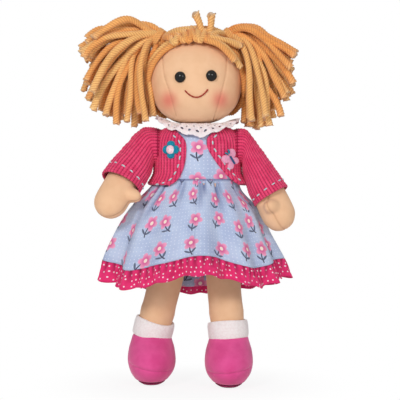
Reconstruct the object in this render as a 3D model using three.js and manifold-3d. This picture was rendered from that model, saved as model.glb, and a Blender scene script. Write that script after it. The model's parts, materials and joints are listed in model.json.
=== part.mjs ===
// A stuffed rag doll in a print dress, a knitted cardigan and soft shoes, standing on its soles.
// Millimetres, +Z up, -Y the doll's front, +X its left. The origin is on the floor, under its middle.
import * as THREE from "three";
import { mergeVertices } from "three/addons/utils/BufferGeometryUtils.js";
import Module from "manifold-3d";

// Clearance between pieces that are sewn together or lie on each other
const GAP = 0.3;

// Legs: the hip seam is a ball, so that each leg can swing under the body
const HIP_HEIGHT = 132;
const HIP_SPREAD = 42;
const HIP_BALL_RADIUS = 16.4;
const THIGH_RADIUS = 15.8;
const ANKLE_RADIUS = 15;
const FOOT_DEPTH = 18; // how far the leg's stuffed end reaches down into the shoe
const LEFT_ANKLE = { x: 29, y: -8 }; // where each ankle stands on the floor plan
const RIGHT_ANKLE = { x: -43, y: 8 };

// Shoes and socks
const SHOE_HEIGHT = 45;
const SHOE_SIDE = 7.5; // padding of the shoe beyond the ankle at its sides, toe, heel and top edge
const SHOE_TOE = 23;
const SHOE_HEEL = 4.5;
const SHOE_EDGE = 3;
const SOLE_THICKNESS = 2.4;
const CUFF_HEIGHT = 15;
const CUFF_THICKNESS = 3.4;
const CUFF_ROLL = 1.6; // rounding of the cuff's folded edges

// Body
const TORSO_HEIGHT = 88;
const TORSO_WIDTH = 77;
const TORSO_DEPTH = 55;
const WAIST_RISE = 43; // waist seam above the bottom of the body

// Arms: bent out at the shoulder, then straight to a mitten hand
const ARM_RADIUS = 13.8;
const ARM_LENGTH = 97; // shoulder seam to fingertips
const SHOULDER_BEND = 16.6; // straight out from the shoulder seam by this much, then turned down
const HAND_RADIUS = 15.8;
const HAND_LENGTH = 34;
const HAND_FLATNESS = 0.8; // depth over width of arm and hand
const THUMB_RADIUS = 8;
const THUMB_REACH = 27; // thumb tip from the hand's axis
const THUMB_RISE = 0.65; // thumb's root above the fingertips, as a share of the hand
const SLEEVE_EASE = 1.2; // sleeve off the arm at the shoulder
const CUFF_EASE = 0.4; // sleeve's lower edge off the widest part of the hand
const SLEEVE_THICKNESS = 1.6;
const SLEEVE_RISE = 1.5; // sleeve's top above the top of the body
const ARMHOLE_EASE = 1.3; // armhole round the sleeve
const LEFT_SLEEVE_LENGTH = 66;
const RIGHT_SLEEVE_LENGTH = 59; // pushed up the arm a little
// turns in degrees, and how far the thumb points up the arm, as a share of the hand
const LEFT_ARM_POSE = { out: 19.5, forward: 12, thumbTurn: 62, thumbLift: 0.05 };
const RIGHT_ARM_POSE = { out: 23.5, forward: 30, thumbTurn: 12, thumbLift: 0.2 };

// Dress
const BODICE_EASE = 0.8; // bodice off the body
const BODICE_THICKNESS = 1;
const NECK_OPENING = 21; // half width of the neckline
const SKIRT_LENGTH = 78; // waist seam to the frill's seam at the sides
const SKIRT_HEM_WIDTH = 162;
const SKIRT_HEM_DEPTH = 106;
const SKIRT_THICKNESS = 1;
const SKIRT_FOLDS = 13;
const SKIRT_FOLD_DEPTH = 3.4;
const HEM_TILT = 5.5; // the belly lifts the hem in front, and it hangs lower behind
const FRILL_HEIGHT = 17;
const FRILL_FLARE = 5;
const FRILL_RUFFLES = 24;
const FRILL_RUFFLE_DEPTH = 2.2;
const LACE_SIDE = 2.5; // collar beyond the armholes at the sides, and off the chest in front
const LACE_STAND = 3.8;
const LACE_DROP = 11;
const LACE_THICKNESS = 0.8;
const LACE_RUFFLES = 15;
const LACE_RUFFLE_HEIGHT = 0.9;
const LACE_BOW = 6; // the collar arches over the shoulders
const STRIP_LENGTH = 28; // fastening tape down the back of the bodice
const STRIP_WIDTH = 10;

// Cardigan
const CARDIGAN_THICKNESS = 2.2;
const CARDIGAN_NECK_EASE = 2.4; // its neck edge off the dress's neckband
const CARDIGAN_DROP = 7; // its hem below the waist seam
const CARDIGAN_EASE = 0.6; // cardigan off the bodice
const FLOWER_RADIUS = 8.2;
const FLOWER_THICKNESS = 2.4;
const FLOWER_CENTRE_RADIUS = 4;
const FLOWER_PETALS = 4;
const FLOWER_ACROSS = -24;
const FLOWER_BELOW = 3; // below the armhole's middle
const BUTTERFLY_SPAN = 21;
const BUTTERFLY_THICKNESS = 2;
const BUTTERFLY_BODY_RADIUS = 1.1;
const BUTTERFLY_ACROSS = 29.5;
const BUTTERFLY_BELOW = 12.5;
const BUTTERFLY_TURN = 38; // degrees, leaning towards the middle of the doll
const TRIM_SINK = 1; // a trim's back reaches this deep before the cloth's own curve is cut out of it

// Head
const NECK_STUB_HEIGHT = 2.4;
const NECK_BALL_RADIUS = 13.5;
const NECK_STUB_RADIUS = 8;
const CHIN_LIFT = 5.4; // underside of the head above the body
const HEAD_WIDTH = 85;
const HEAD_DEPTH = 78;
const HEAD_HEIGHT = 82;
const HEAD_TILT = -2.5; // degrees to the doll's left
const EYE_RADIUS = 5.1;
const EYE_SPREAD = 28;
const EYE_RISE = 1.6; // above the head's middle
const EYE_DOME = 4;
const EYE_STEM_RADIUS = 1.6;
const EYE_STEM_LENGTH = 9;
const WASHER_RADIUS = 4.6;
const WASHER_THICKNESS = 1.4;
const MOUTH_WIDTH = 21;
const MOUTH_CURVE = 6.7;
const MOUTH_DROP = 10.6; // mouth corners below the head's middle
const MOUTH_THREAD_RADIUS = 0.75;

// Hair
const HAIR_THICKNESS = 3.4;
const HAIRLINE_TILT = 22; // degrees that the hair's front edge leans back as it goes down
const HAIRLINE_AHEAD = 10.3; // hair's front edge ahead of the head's middle
const NAPE_DROP = 33; // hair's lower edge below the head's middle
const YARN_RADIUS = 3.2;
const FRINGE_SPAN = 56; // degrees round the top of the head
const TUFT_RADIUS = 3.2;
const TUFT_LENGTH = 14;
const BUNCH_ROLL = 41; // degrees from the crown to where each bunch is tied
const BUNCH_STAND = 6; // tie off the hair below it
const BUNCH_NECK_RADIUS = 9.2;
const LEFT_BUNCH_LENGTH = 73; // tie to the lowest ends
const RIGHT_BUNCH_LENGTH = 77;
const BUNCH_DEPTH = 56;
const BUNCH_LOCKS = 9; // ridges round a bunch
const BUNCH_GROOVE = 3;
const TIE_CORD_RADIUS = 1.5;

const radians = THREE.MathUtils.degToRad;
const wasm = await Module();
wasm.setup();

// Solids that can be joined and cut

function solid(geometry) {
  const bare = geometry.clone();
  bare.deleteAttribute("normal");
  bare.deleteAttribute("uv");
  const merged = mergeVertices(bare);
  return new wasm.Manifold(
    new wasm.Mesh({
      numProp: 3,
      vertProperties: merged.attributes.position.array,
      triVerts: new Uint32Array(merged.index.array),
    }),
  );
}

function geometryOf(made) {
  const { vertProperties, triVerts } = made.getMesh();
  return new THREE.BufferGeometry()
    .setAttribute("position", new THREE.BufferAttribute(vertProperties, 3))
    .setIndex(new THREE.BufferAttribute(triVerts, 1));
}

const join = (...geometries) => geometryOf(geometries.map(solid).reduce((a, b) => a.add(b)));
const cut = (geometry, ...tools) =>
  geometryOf(tools.map(solid).reduce((a, b) => a.subtract(b), solid(geometry)));
const common = (a, b) => geometryOf(solid(a).intersect(solid(b)));

// Shapes

const circle = (sides) =>
  Array.from({ length: sides }, (_, i) => (2 * Math.PI * i) / sides).map((t) => [Math.cos(t), Math.sin(t)]);

// Rings of equal length joined into one closed skin: capped at both ends, or looped round on itself.
function loft(rings, looped = false) {
  const sides = rings[0].length;
  const points = rings.flat();
  const index = [];
  const bands = looped ? rings.length : rings.length - 1;
  for (let i = 0; i < bands; i++) {
    const here = i * sides;
    const next = ((i + 1) % rings.length) * sides;
    for (let j = 0; j < sides; j++) {
      const k = (j + 1) % sides;
      index.push(here + j, here + k, next + k, here + j, next + k, next + j);
    }
  }
  if (!looped) {
    const middle = (ring) => ring.reduce((sum, p) => sum.add(p), new THREE.Vector3()).divideScalar(sides);
    const last = (rings.length - 1) * sides;
    const foot = points.push(middle(rings[0])) - 1;
    const top = points.push(middle(rings.at(-1))) - 1;
    for (let j = 0; j < sides; j++) {
      const k = (j + 1) % sides;
      index.push(foot, k, j, top, last + j, last + k);
    }
  }
  return new THREE.BufferGeometry().setFromPoints(points).setIndex(index);
}

// Round sections, given as [share of the way, radius], along a curve.
function sectionRings(curve, sections, sides, flatness = 1) {
  const front = new THREE.Vector3(0, 1, 0);
  return sections.map(([share, radius]) => {
    const centre = curve.getPointAt(share);
    const along = curve.getTangentAt(share);
    const across = new THREE.Vector3().crossVectors(front, along).normalize();
    const deep = new THREE.Vector3().crossVectors(along, across);
    return circle(sides).map(([c, s]) =>
      centre.clone().addScaledVector(across, radius * c).addScaledVector(deep, radius * flatness * s),
    );
  });
}

// A stuffed limb or a lock of yarn.
const limb = (...section) => loft(sectionRings(...section));

// Sections of a limb swelling smoothly through [distance, radius] stations, scaled to shares of the length.
function swelling(stations, length, count, growth = 0) {
  const spline = new THREE.SplineCurve(stations.map(([d, r]) => new THREE.Vector2(d, r)));
  return spline.getPoints(count).map((p) => [
    THREE.MathUtils.clamp(p.x / length, 0, 1),
    Math.max(p.y, GAP) + growth,
  ]);
}

// Cloth of even thickness, closed round in u, with v running from its upper edge (0) to its lower edge (1).
function cloth(point, around, down, thickness) {
  const step = 1e-3;
  const inner = (u, v) => {
    const along = point(u + step, v).sub(point(u - step, v));
    const up = point(u, v - step).sub(point(u, v + step));
    return point(u, v).addScaledVector(along.cross(up).normalize(), -thickness);
  };
  const ring = (face, v) => Array.from({ length: around }, (_, i) => face(i / around, v));
  const levels = Array.from({ length: down + 1 }, (_, i) => i / down);
  const outside = levels.map((v) => ring(point, v)).reverse();
  const inside = levels.map((v) => ring(inner, v));
  return loft([...outside, ...inside], true);
}

// A solid of revolution about +Z from [radius, height] pairs, with depth set as a share of its width.
function turned(profile, sides, depthShare = 1) {
  const points = profile.map(([r, z]) => new THREE.Vector2(r, z));
  return new THREE.LatheGeometry(points, sides).rotateX(Math.PI / 2).scale(1, depthShare, 1);
}

function block(low, high) {
  const size = high.map((h, i) => h - low[i]);
  return new THREE.BoxGeometry(...size).translate(...low.map((l, i) => l + size[i] / 2));
}

function tube(curve, radius, steps, sides) {
  const section = new THREE.Shape(circle(sides).map(([c, s]) => new THREE.Vector2(radius * c, radius * s)));
  return new THREE.ExtrudeGeometry(section, { extrudePath: curve, steps, bevelEnabled: false });
}

// Scene graph

const material = (color, roughness) => new THREE.MeshStandardMaterial({ color, roughness, metalness: 0 });
const skin = material(0xeec39c, 0.85);
const honeyYarn = material(0xd9954f, 0.9);
const pinkKnit = material(0xd2356b, 0.9);
const printCotton = material(0xb4bfdb, 0.8);
const dottedCotton = material(0xd13468, 0.8);
const whiteLace = material(0xeddfe3, 0.8);
const orchidFelt = material(0xd9558f, 0.85);
const whiteTerry = material(0xebdfdf, 0.9);
const blackGloss = material(0x14120f, 0.12);
const whitePlastic = material(0xe8e6e0, 0.4);
const redThread = material(0xb8442f, 0.7);
const tealFelt = material(0x1891ac, 0.9);
const pinkFelt = material(0xe89aba, 0.9);
const speckledPink = material(0xe8afc3, 0.8);
const navyThread = material(0x2f5a7d, 0.8);
const whiteTape = material(0xe6e6ea, 0.9);

const part = new THREE.Group();
const doll = new THREE.Group();
part.add(doll);

function piece(parent, name, geometry, finish) {
  const mesh = new THREE.Mesh(geometry, finish);
  mesh.name = name;
  parent.add(mesh);
  return mesh;
}

function frameAt(parent, position, rotation = [0, 0, 0]) {
  const group = new THREE.Group();
  group.position.set(...position);
  group.rotation.set(...rotation.map(radians));
  parent.add(group);
  return group;
}

// Levels up the doll

const torsoBottom = HIP_HEIGHT + HIP_BALL_RADIUS + GAP;
const torsoTop = torsoBottom + TORSO_HEIGHT;
const waist = torsoBottom + WAIST_RISE;
const sleeveTopRadius = ARM_RADIUS + SLEEVE_EASE + SLEEVE_THICKNESS;
const sleeveEndRadius = HAND_RADIUS + CUFF_EASE + SLEEVE_THICKNESS;
const shoulder = torsoTop + SLEEVE_RISE - sleeveTopRadius; // the armhole's middle
const depthShare = TORSO_DEPTH / TORSO_WIDTH;

// The body's outline as shares of its height and half width: hips, waist, chest, then square shoulders.
const TORSO_OUTLINE = [
  [0, 0.7],
  [0.06, 0.9],
  [0.18, 1],
  [0.34, 1],
  [0.49, 0.955],
  [0.66, 0.94],
  [0.8, 0.94],
  [0.9, 0.905],
  [0.96, 0.79],
  [0.992, 0.55],
  [1, 0.31],
];
const torsoCurve = new THREE.SplineCurve(
  TORSO_OUTLINE.map(([h, w]) => new THREE.Vector2((w * TORSO_WIDTH) / 2, torsoBottom + h * TORSO_HEIGHT)),
);
const OUTLINE_SAMPLES = 480;
const torsoSamples = torsoCurve.getPoints(OUTLINE_SAMPLES);
const torsoRadius = (z) => torsoSamples.reduce((a, b) => (Math.abs(b.y - z) < Math.abs(a.y - z) ? b : a)).x;

// The body's outline pushed out by an offset that depends on height, from a lower level to a neck opening.
function wrapOutline(offsetAt, lowest, opening, count) {
  const kept = torsoSamples
    .map((p, i) => [p, torsoCurve.getTangent(i / OUTLINE_SAMPLES)])
    .filter(([p]) => p.y >= lowest && p.x >= opening);
  return Array.from({ length: count + 1 }, (_, i) => kept[Math.round((i * (kept.length - 1)) / count)]).map(
    ([p, t]) => [p.x + t.y * offsetAt(p.y), p.y - t.x * offsetAt(p.y)],
  );
}

function wrap(insideAt, outsideAt, lowest, opening, count, sides) {
  const outside = wrapOutline(outsideAt, lowest, opening, count);
  const inside = wrapOutline(insideAt, lowest, opening, count).reverse();
  return turned([...outside, ...inside, outside[0]], sides, depthShare);
}

// Body

const TORSO_SIDES = 20;
const torsoProfile = [[0, torsoBottom], ...torsoCurve.getPoints(11).map((p) => [p.x, p.y]), [0, torsoTop]];
piece(doll, "torso", turned(torsoProfile, TORSO_SIDES, depthShare), skin);

// Legs, socks and shoes

// A shoe's plan at rising levels, as shares: height, half width, toe reach, heel reach.
const SHOE_OUTLINE = [
  [0, 0.62, 0.66, 0.74],
  [0.09, 0.83, 0.87, 0.9],
  [0.27, 0.96, 1, 0.98],
  [0.49, 1, 1, 1],
  [0.71, 0.96, 0.85, 0.98],
  [0.89, 0.87, 0.62, 0.96],
];

const shoeTopRadius = ANKLE_RADIUS + SHOE_EDGE;

function shoeForm() {
  const sides = 16;
  const halfWidth = ANKLE_RADIUS + SHOE_SIDE;
  const toeReach = ANKLE_RADIUS + SHOE_TOE;
  const heelReach = ANKLE_RADIUS + SHOE_HEEL;
  const level = (height, half, toe, heel) =>
    circle(sides).map(([c, s]) => new THREE.Vector3(half * c, (s < 0 ? toe : heel) * s, height));
  const rings = SHOE_OUTLINE.map(([h, w, toe, heel]) =>
    level(h * SHOE_HEIGHT, w * halfWidth, toe * toeReach, heel * heelReach),
  );
  rings.push(level(SHOE_HEIGHT, shoeTopRadius, shoeTopRadius, shoeTopRadius));
  return loft(rings);
}

function makeLeg(side, sign, ankle) {
  const hip = new THREE.Vector3((sign * HIP_SPREAD) / 2, 0, HIP_HEIGHT);
  const ankleTop = new THREE.Vector3(ankle.x, ankle.y, SHOE_HEIGHT);
  const down = ankleTop.clone().sub(hip).normalize();
  const start = hip.clone().addScaledVector(down, -HIP_BALL_RADIUS);
  const end = ankleTop.clone().addScaledVector(down, FOOT_DEPTH);
  const axis = new THREE.LineCurve3(start, end);
  const length = start.distanceTo(end);

  // the top is a ball about the hip, then the leg tapers to its stuffed end
  const ball = Array.from({ length: 5 }, (_, i) => {
    const turn = (i / 5) * (Math.PI / 2);
    return [HIP_BALL_RADIUS * (1 - Math.cos(turn)), HIP_BALL_RADIUS * Math.sin(turn)];
  });
  const shin = [
    [HIP_BALL_RADIUS, HIP_BALL_RADIUS],
    [length * 0.42, THIGH_RADIUS],
    [length - FOOT_DEPTH, ANKLE_RADIUS],
    [length - FOOT_DEPTH * 0.42, ANKLE_RADIUS * 0.9],
    [length - FOOT_DEPTH * 0.1, ANKLE_RADIUS * 0.55],
    [length, 1],
  ];
  const sections = (growth) => [
    ...ball.map(([d, r]) => [d / length, Math.max(r, 0.5) + growth]),
    ...swelling(shin, length, 8, growth).map(([share, r]) => [share, Math.min(r, HIP_BALL_RADIUS + growth)]),
  ];
  const legSides = 14;
  piece(doll, `${side}_leg`, limb(axis, sections(0), legSides), skin);

  // the shoe stands flat on the floor, and the leg's end sits in a socket in it
  const socketAt = down.clone().multiplyScalar(GAP).sub(new THREE.Vector3(ankle.x, ankle.y, 0));
  const socket = limb(axis, sections(GAP), legSides).translate(...socketAt.toArray());
  const reach = 4 * (ANKLE_RADIUS + SHOE_TOE);
  const upperSpace = block([-reach, -reach, SOLE_THICKNESS + GAP], [reach, reach, 2 * SHOE_HEIGHT]);
  const soleSpace = block([-reach, -reach, -SOLE_THICKNESS], [reach, reach, SOLE_THICKNESS]);
  const stand = frameAt(doll, [ankle.x, ankle.y, 0]);
  piece(stand, `${side}_shoe`, cut(common(shoeForm(), upperSpace), socket), orchidFelt);
  piece(stand, `${side}_shoe_sole`, common(shoeForm(), soleSpace), orchidFelt);

  // the folded sock cuff goes round the leg and sits on the shoe's top edge
  const cuffRadius = ANKLE_RADIUS + CUFF_THICKNESS;
  const bulge = cuffRadius + CUFF_ROLL / 4;
  const band = [
    [0, -CUFF_ROLL],
    [cuffRadius - CUFF_ROLL, -CUFF_ROLL],
    [cuffRadius, 0],
    [bulge, CUFF_HEIGHT / 2],
    [cuffRadius, CUFF_HEIGHT - CUFF_ROLL],
    [cuffRadius - CUFF_ROLL, CUFF_HEIGHT],
    [0, CUFF_HEIGHT],
  ];
  const lean = new THREE.Quaternion().setFromUnitVectors(new THREE.Vector3(0, 0, 1), down.clone().negate());
  const cuff = turned(band, 14).applyQuaternion(lean).translate(0, 0, SHOE_HEIGHT);
  const shoeBelow = shoeForm().translate(0, 0, GAP);
  piece(stand, `${side}_sock_cuff`, cut(cuff, socket, shoeBelow), whiteTerry);
}
makeLeg("left", 1, LEFT_ANKLE);
makeLeg("right", -1, RIGHT_ANKLE);

// Dress

const bodiceOutside = BODICE_EASE + BODICE_THICKNESS;
const BODICE_SIDES = 20;
const armX = torsoRadius(shoulder) + GAP; // the plane that each arm is sewn in

// The cardigan's cloth lies over the bodice, and its hem stands off to clear the gathered skirt.
const waistRadius = torsoRadius(waist) + bodiceOutside;
const cardiganHem = waist - CARDIGAN_DROP;
const hemShare = CARDIGAN_DROP / (SKIRT_LENGTH - 2 * HEM_TILT);
const skirtAcross = THREE.MathUtils.lerp(waistRadius, SKIRT_HEM_WIDTH / 2, hemShare);
const skirtDeep = THREE.MathUtils.lerp(waistRadius * depthShare, SKIRT_HEM_DEPTH / 2, hemShare);
const skirtBelow = Math.max(skirtAcross, skirtDeep / depthShare) + 2 * SKIRT_FOLD_DEPTH * hemShare;
const cardiganFlare = Math.max(skirtBelow - torsoRadius(cardiganHem) - bodiceOutside, 0);
const cardiganInside = (z) => {
  const flare = THREE.MathUtils.smoothstep(waist + CARDIGAN_DROP - z, 0, 2 * CARDIGAN_DROP);
  return bodiceOutside + CARDIGAN_EASE + cardiganFlare * flare;
};
const cardiganOutside = (z) => cardiganInside(z) + CARDIGAN_THICKNESS;
const cardiganOpening = NECK_OPENING + BODICE_THICKNESS + CARDIGAN_NECK_EASE;
// the lace lies over the cardigan
const collarSeat = wrapOutline(cardiganOutside, waist, cardiganOpening, 1).at(-1)[1] + 4 * GAP;

// Both armholes, as one tool that leaves the middle of the body alone.
function armholes() {
  const wide = 2 * TORSO_WIDTH;
  const radius = sleeveTopRadius + ARMHOLE_EASE;
  const drum = new THREE.CylinderGeometry(radius, radius, wide, 28).rotateZ(Math.PI / 2);
  const inner = armX - SLEEVE_THICKNESS;
  return cut(drum.translate(0, 0, shoulder), block([-inner, -wide, 0], [inner, wide, 2 * torsoTop]));
}

// The back fastening fills a slot in the bodice.
const stripMiddle = (waist + shoulder) / 2;
const stripBlock = (growth) =>
  block(
    [-STRIP_WIDTH / 2 - growth, 0, stripMiddle - STRIP_LENGTH / 2 - growth],
    [STRIP_WIDTH / 2 + growth, TORSO_DEPTH, stripMiddle + STRIP_LENGTH / 2 + growth],
  );

const bodiceShell = wrap(() => BODICE_EASE, () => bodiceOutside, waist + GAP, NECK_OPENING, 6, BODICE_SIDES);
const [bandRadius, bandFoot] = wrapOutline(() => BODICE_EASE, waist, NECK_OPENING, 1).at(-1);
const bandProfile = [
  [bandRadius, bandFoot],
  [bandRadius + BODICE_THICKNESS, bandFoot],
  [bandRadius + BODICE_THICKNESS, collarSeat - GAP],
  [bandRadius, collarSeat - GAP],
  [bandRadius, bandFoot],
];
const bodice = join(bodiceShell, turned(bandProfile, BODICE_SIDES, depthShare));
piece(doll, "dress_bodice", cut(bodice, armholes(), stripBlock(GAP)), printCotton);
piece(doll, "back_fastening_strip", common(bodiceShell, stripBlock(0)), whiteTape);

// The hem's level below the waist round the skirt, lifted in front and low behind, and its folds.
const hemFall = (turn) => SKIRT_LENGTH + HEM_TILT * (Math.sin(turn) - 0.35 * Math.cos(2 * turn));

function skirtPoint(u, v) {
  const turn = 2 * Math.PI * u;
  const wave = Math.cos(SKIRT_FOLDS * turn) + 0.5 * Math.cos((SKIRT_FOLDS - 4) * turn + 1);
  const fold = SKIRT_FOLD_DEPTH * v * wave;
  const half = THREE.MathUtils.lerp(waistRadius, SKIRT_HEM_WIDTH / 2, v) + fold;
  const deep = THREE.MathUtils.lerp(waistRadius * depthShare, SKIRT_HEM_DEPTH / 2, v) + fold;
  return new THREE.Vector3(half * Math.cos(turn), deep * Math.sin(turn), waist - v * hemFall(turn));
}
piece(doll, "dress_skirt", cloth(skirtPoint, 6 * SKIRT_FOLDS, 3, SKIRT_THICKNESS), printCotton);

function frillPoint(u, v) {
  const turn = 2 * Math.PI * u;
  const ruffle = FRILL_RUFFLE_DEPTH * Math.cos(FRILL_RUFFLES * turn + 0.6 * Math.sin(5 * turn));
  const out = v * (FRILL_FLARE + ruffle);
  const edge = skirtPoint(u, 1);
  const outward = new THREE.Vector3(Math.cos(turn), Math.sin(turn), 0);
  return edge.addScaledVector(outward, out).add(new THREE.Vector3(0, 0, -2 * GAP - v * FRILL_HEIGHT));
}
piece(doll, "dress_hem_frill", cloth(frillPoint, 4 * FRILL_RUFFLES, 1, SKIRT_THICKNESS), dottedCotton);

function lacePoint(u, v) {
  const turn = 2 * Math.PI * u;
  const half = THREE.MathUtils.lerp(bandRadius, armX + LACE_SIDE, v);
  const deep = THREE.MathUtils.lerp(bandRadius * depthShare, TORSO_DEPTH / 2 + LACE_STAND, v);
  const fall = LACE_DROP * v * v * Math.sin(turn) ** 2;
  const ruffle = LACE_RUFFLE_HEIGHT * v * Math.cos(LACE_RUFFLES * turn);
  const level = collarSeat + LACE_THICKNESS - fall + ruffle + LACE_BOW * v * (1 - v);
  return new THREE.Vector3(half * Math.cos(turn), deep * Math.sin(turn), level);
}
piece(doll, "lace_collar", cloth(lacePoint, 4 * LACE_RUFFLES, 2, LACE_THICKNESS), whiteLace);

// Cardigan

const cardiganShell = wrap(cardiganInside, cardiganOutside, cardiganHem, cardiganOpening, 8, 28);
const cardiganBody = cut(cardiganShell, armholes());
const backHalf = block([-TORSO_WIDTH, GAP / 2, 0], [TORSO_WIDTH, TORSO_WIDTH, 2 * torsoTop]);
const cardiganBack = common(cardiganBody, backHalf);
piece(doll, "cardigan_back", cardiganBack, pinkKnit);

// The front edges from the neckline round to the side: [share of half width, share of height].
const LEFT_EDGE = [
  [0.44, 1.02],
  [0.27, 0.9],
  [0.22, 0.8],
  [0.26, 0.65],
  [0.44, 0.44],
  [0.64, 0.26],
  [0.86, 0.12],
  [1.05, 0.05],
];
const RIGHT_EDGE = [
  [0.57, 1.02],
  [0.45, 0.95],
  [0.29, 0.8],
  [0.27, 0.58],
  [0.34, 0.31],
  [0.52, 0.08],
  [0.78, 0],
  [1.05, 0.05],
];

function cardiganFront(sign, edge) {
  const half = armX + CARDIGAN_THICKNESS;
  const height = torsoTop - cardiganHem;
  const curve = new THREE.SplineCurve(
    edge.map(([x, z]) => new THREE.Vector2(sign * x * half, cardiganHem + z * height)),
  );
  const outline = new THREE.Shape(curve.getPoints(14));
  outline.lineTo(sign * TORSO_WIDTH, cardiganHem);
  outline.lineTo(sign * TORSO_WIDTH, 2 * torsoTop);
  outline.lineTo(sign * edge[0][0] * half, 2 * torsoTop);
  const prism = new THREE.ExtrudeGeometry(outline, { depth: TORSO_DEPTH, bevelEnabled: false });
  return common(cardiganBody, prism.rotateX(Math.PI / 2).translate(0, -GAP / 2, 0));
}
const leftFront = piece(doll, "cardigan_left_front", cardiganFront(1, LEFT_EDGE), pinkKnit);
const rightFront = piece(doll, "cardigan_right_front", cardiganFront(-1, RIGHT_EDGE), pinkKnit);

// A trim lies on the cardigan at a place seen from in front, facing out along the cloth.
function onCardigan(across, level) {
  const half = torsoRadius(level) + cardiganOutside(level);
  const deep = half * depthShare;
  const y = -deep * Math.sqrt(1 - (across / half) ** 2);
  const facing = Math.atan2(across / half ** 2, -y / deep ** 2);
  return { position: [across, y, level], facing: THREE.MathUtils.radToDeg(facing) };
}

// Cuts the cloth below out of a trim that stands in its own frame, so that its back follows the cloth.
function seatOn(trim, front) {
  trim.parent.updateMatrixWorld(true);
  const toTrim = trim.parent.matrixWorld.clone().invert().multiply(front.matrixWorld);
  const clothBelow = front.geometry.clone().applyMatrix4(toTrim).translate(0, -GAP, 0);
  trim.geometry = cut(trim.geometry, clothBelow);
}

// An outline whose reach from its middle depends on the turn round it.
function roundOutline(count, reachAt) {
  const points = Array.from({ length: count }, (_, i) => {
    const turn = (2 * Math.PI * i) / count;
    return new THREE.Vector2(Math.cos(turn), Math.sin(turn)).multiplyScalar(reachAt(turn));
  });
  return new THREE.Shape(points);
}

// Flat shapes are drawn in x and z, and their thickness faces -Y.
function felt(shape, thickness) {
  const depth = thickness + TRIM_SINK;
  return new THREE.ExtrudeGeometry(shape, { depth, bevelEnabled: false })
    .rotateX(Math.PI / 2)
    .translate(0, TRIM_SINK, 0);
}

// Flower: felt petals round a raised middle
const flowerPlace = onCardigan(FLOWER_ACROSS, shoulder - FLOWER_BELOW);
const flowerFrame = frameAt(doll, flowerPlace.position, [0, 0, flowerPlace.facing]);
const petalWave = (turn) => Math.abs(Math.cos((FLOWER_PETALS * turn) / 2)) ** 0.5;
const petalReach = (turn) => FLOWER_RADIUS * (0.6 + 0.4 * petalWave(turn));
function flowerMiddle(radius, height) {
  const profile = [
    [0, -TRIM_SINK],
    [radius, -TRIM_SINK],
    [radius, height * 0.6],
    [radius * 0.7, height],
    [0, height],
  ];
  return turned(profile, 16).rotateX(Math.PI / 2);
}
const middleHole = flowerMiddle(FLOWER_CENTRE_RADIUS + GAP, 2 * FLOWER_THICKNESS);
const petals = cut(felt(roundOutline(32, petalReach), FLOWER_THICKNESS), middleHole);
seatOn(piece(flowerFrame, "flower_petals", petals, tealFelt), rightFront);
const flowerCentre = flowerMiddle(FLOWER_CENTRE_RADIUS, 1.35 * FLOWER_THICKNESS);
seatOn(piece(flowerFrame, "flower_centre", flowerCentre, speckledPink), rightFront);

// Butterfly: two upper wings and two smaller lower ones about a rolled body
function wingReach(turn) {
  const lobe = 0.34 + 0.66 * Math.abs(Math.sin(2 * turn)) ** 0.8;
  return (BUTTERFLY_SPAN / 2) * lobe * (Math.sin(turn) < 0 ? 0.82 : 1);
}
const butterflyPlace = onCardigan(BUTTERFLY_ACROSS, shoulder - BUTTERFLY_BELOW);
const butterflyFrame = frameAt(doll, butterflyPlace.position, [0, 0, butterflyPlace.facing]);
const bodyRise = -BUTTERFLY_THICKNESS - BUTTERFLY_BODY_RADIUS / 2;
const bodyLine = new THREE.LineCurve3(
  new THREE.Vector3(0, bodyRise, -BUTTERFLY_SPAN / 4),
  new THREE.Vector3(0, bodyRise, BUTTERFLY_SPAN / 3),
);
const bodyGroove = tube(bodyLine, BUTTERFLY_BODY_RADIUS + GAP, 2, 10);
const lean = radians(-BUTTERFLY_TURN);
const wings = cut(felt(roundOutline(40, wingReach), BUTTERFLY_THICKNESS), bodyGroove).rotateY(lean);
seatOn(piece(butterflyFrame, "butterfly_wings", wings, pinkFelt), leftFront);
const bodyRoll = tube(bodyLine, BUTTERFLY_BODY_RADIUS, 2, 10).rotateY(lean);
piece(butterflyFrame, "butterfly_body", bodyRoll, navyThread);

// Arms and sleeves, each in a frame at its shoulder with the armhole in the plane x = 0

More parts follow.
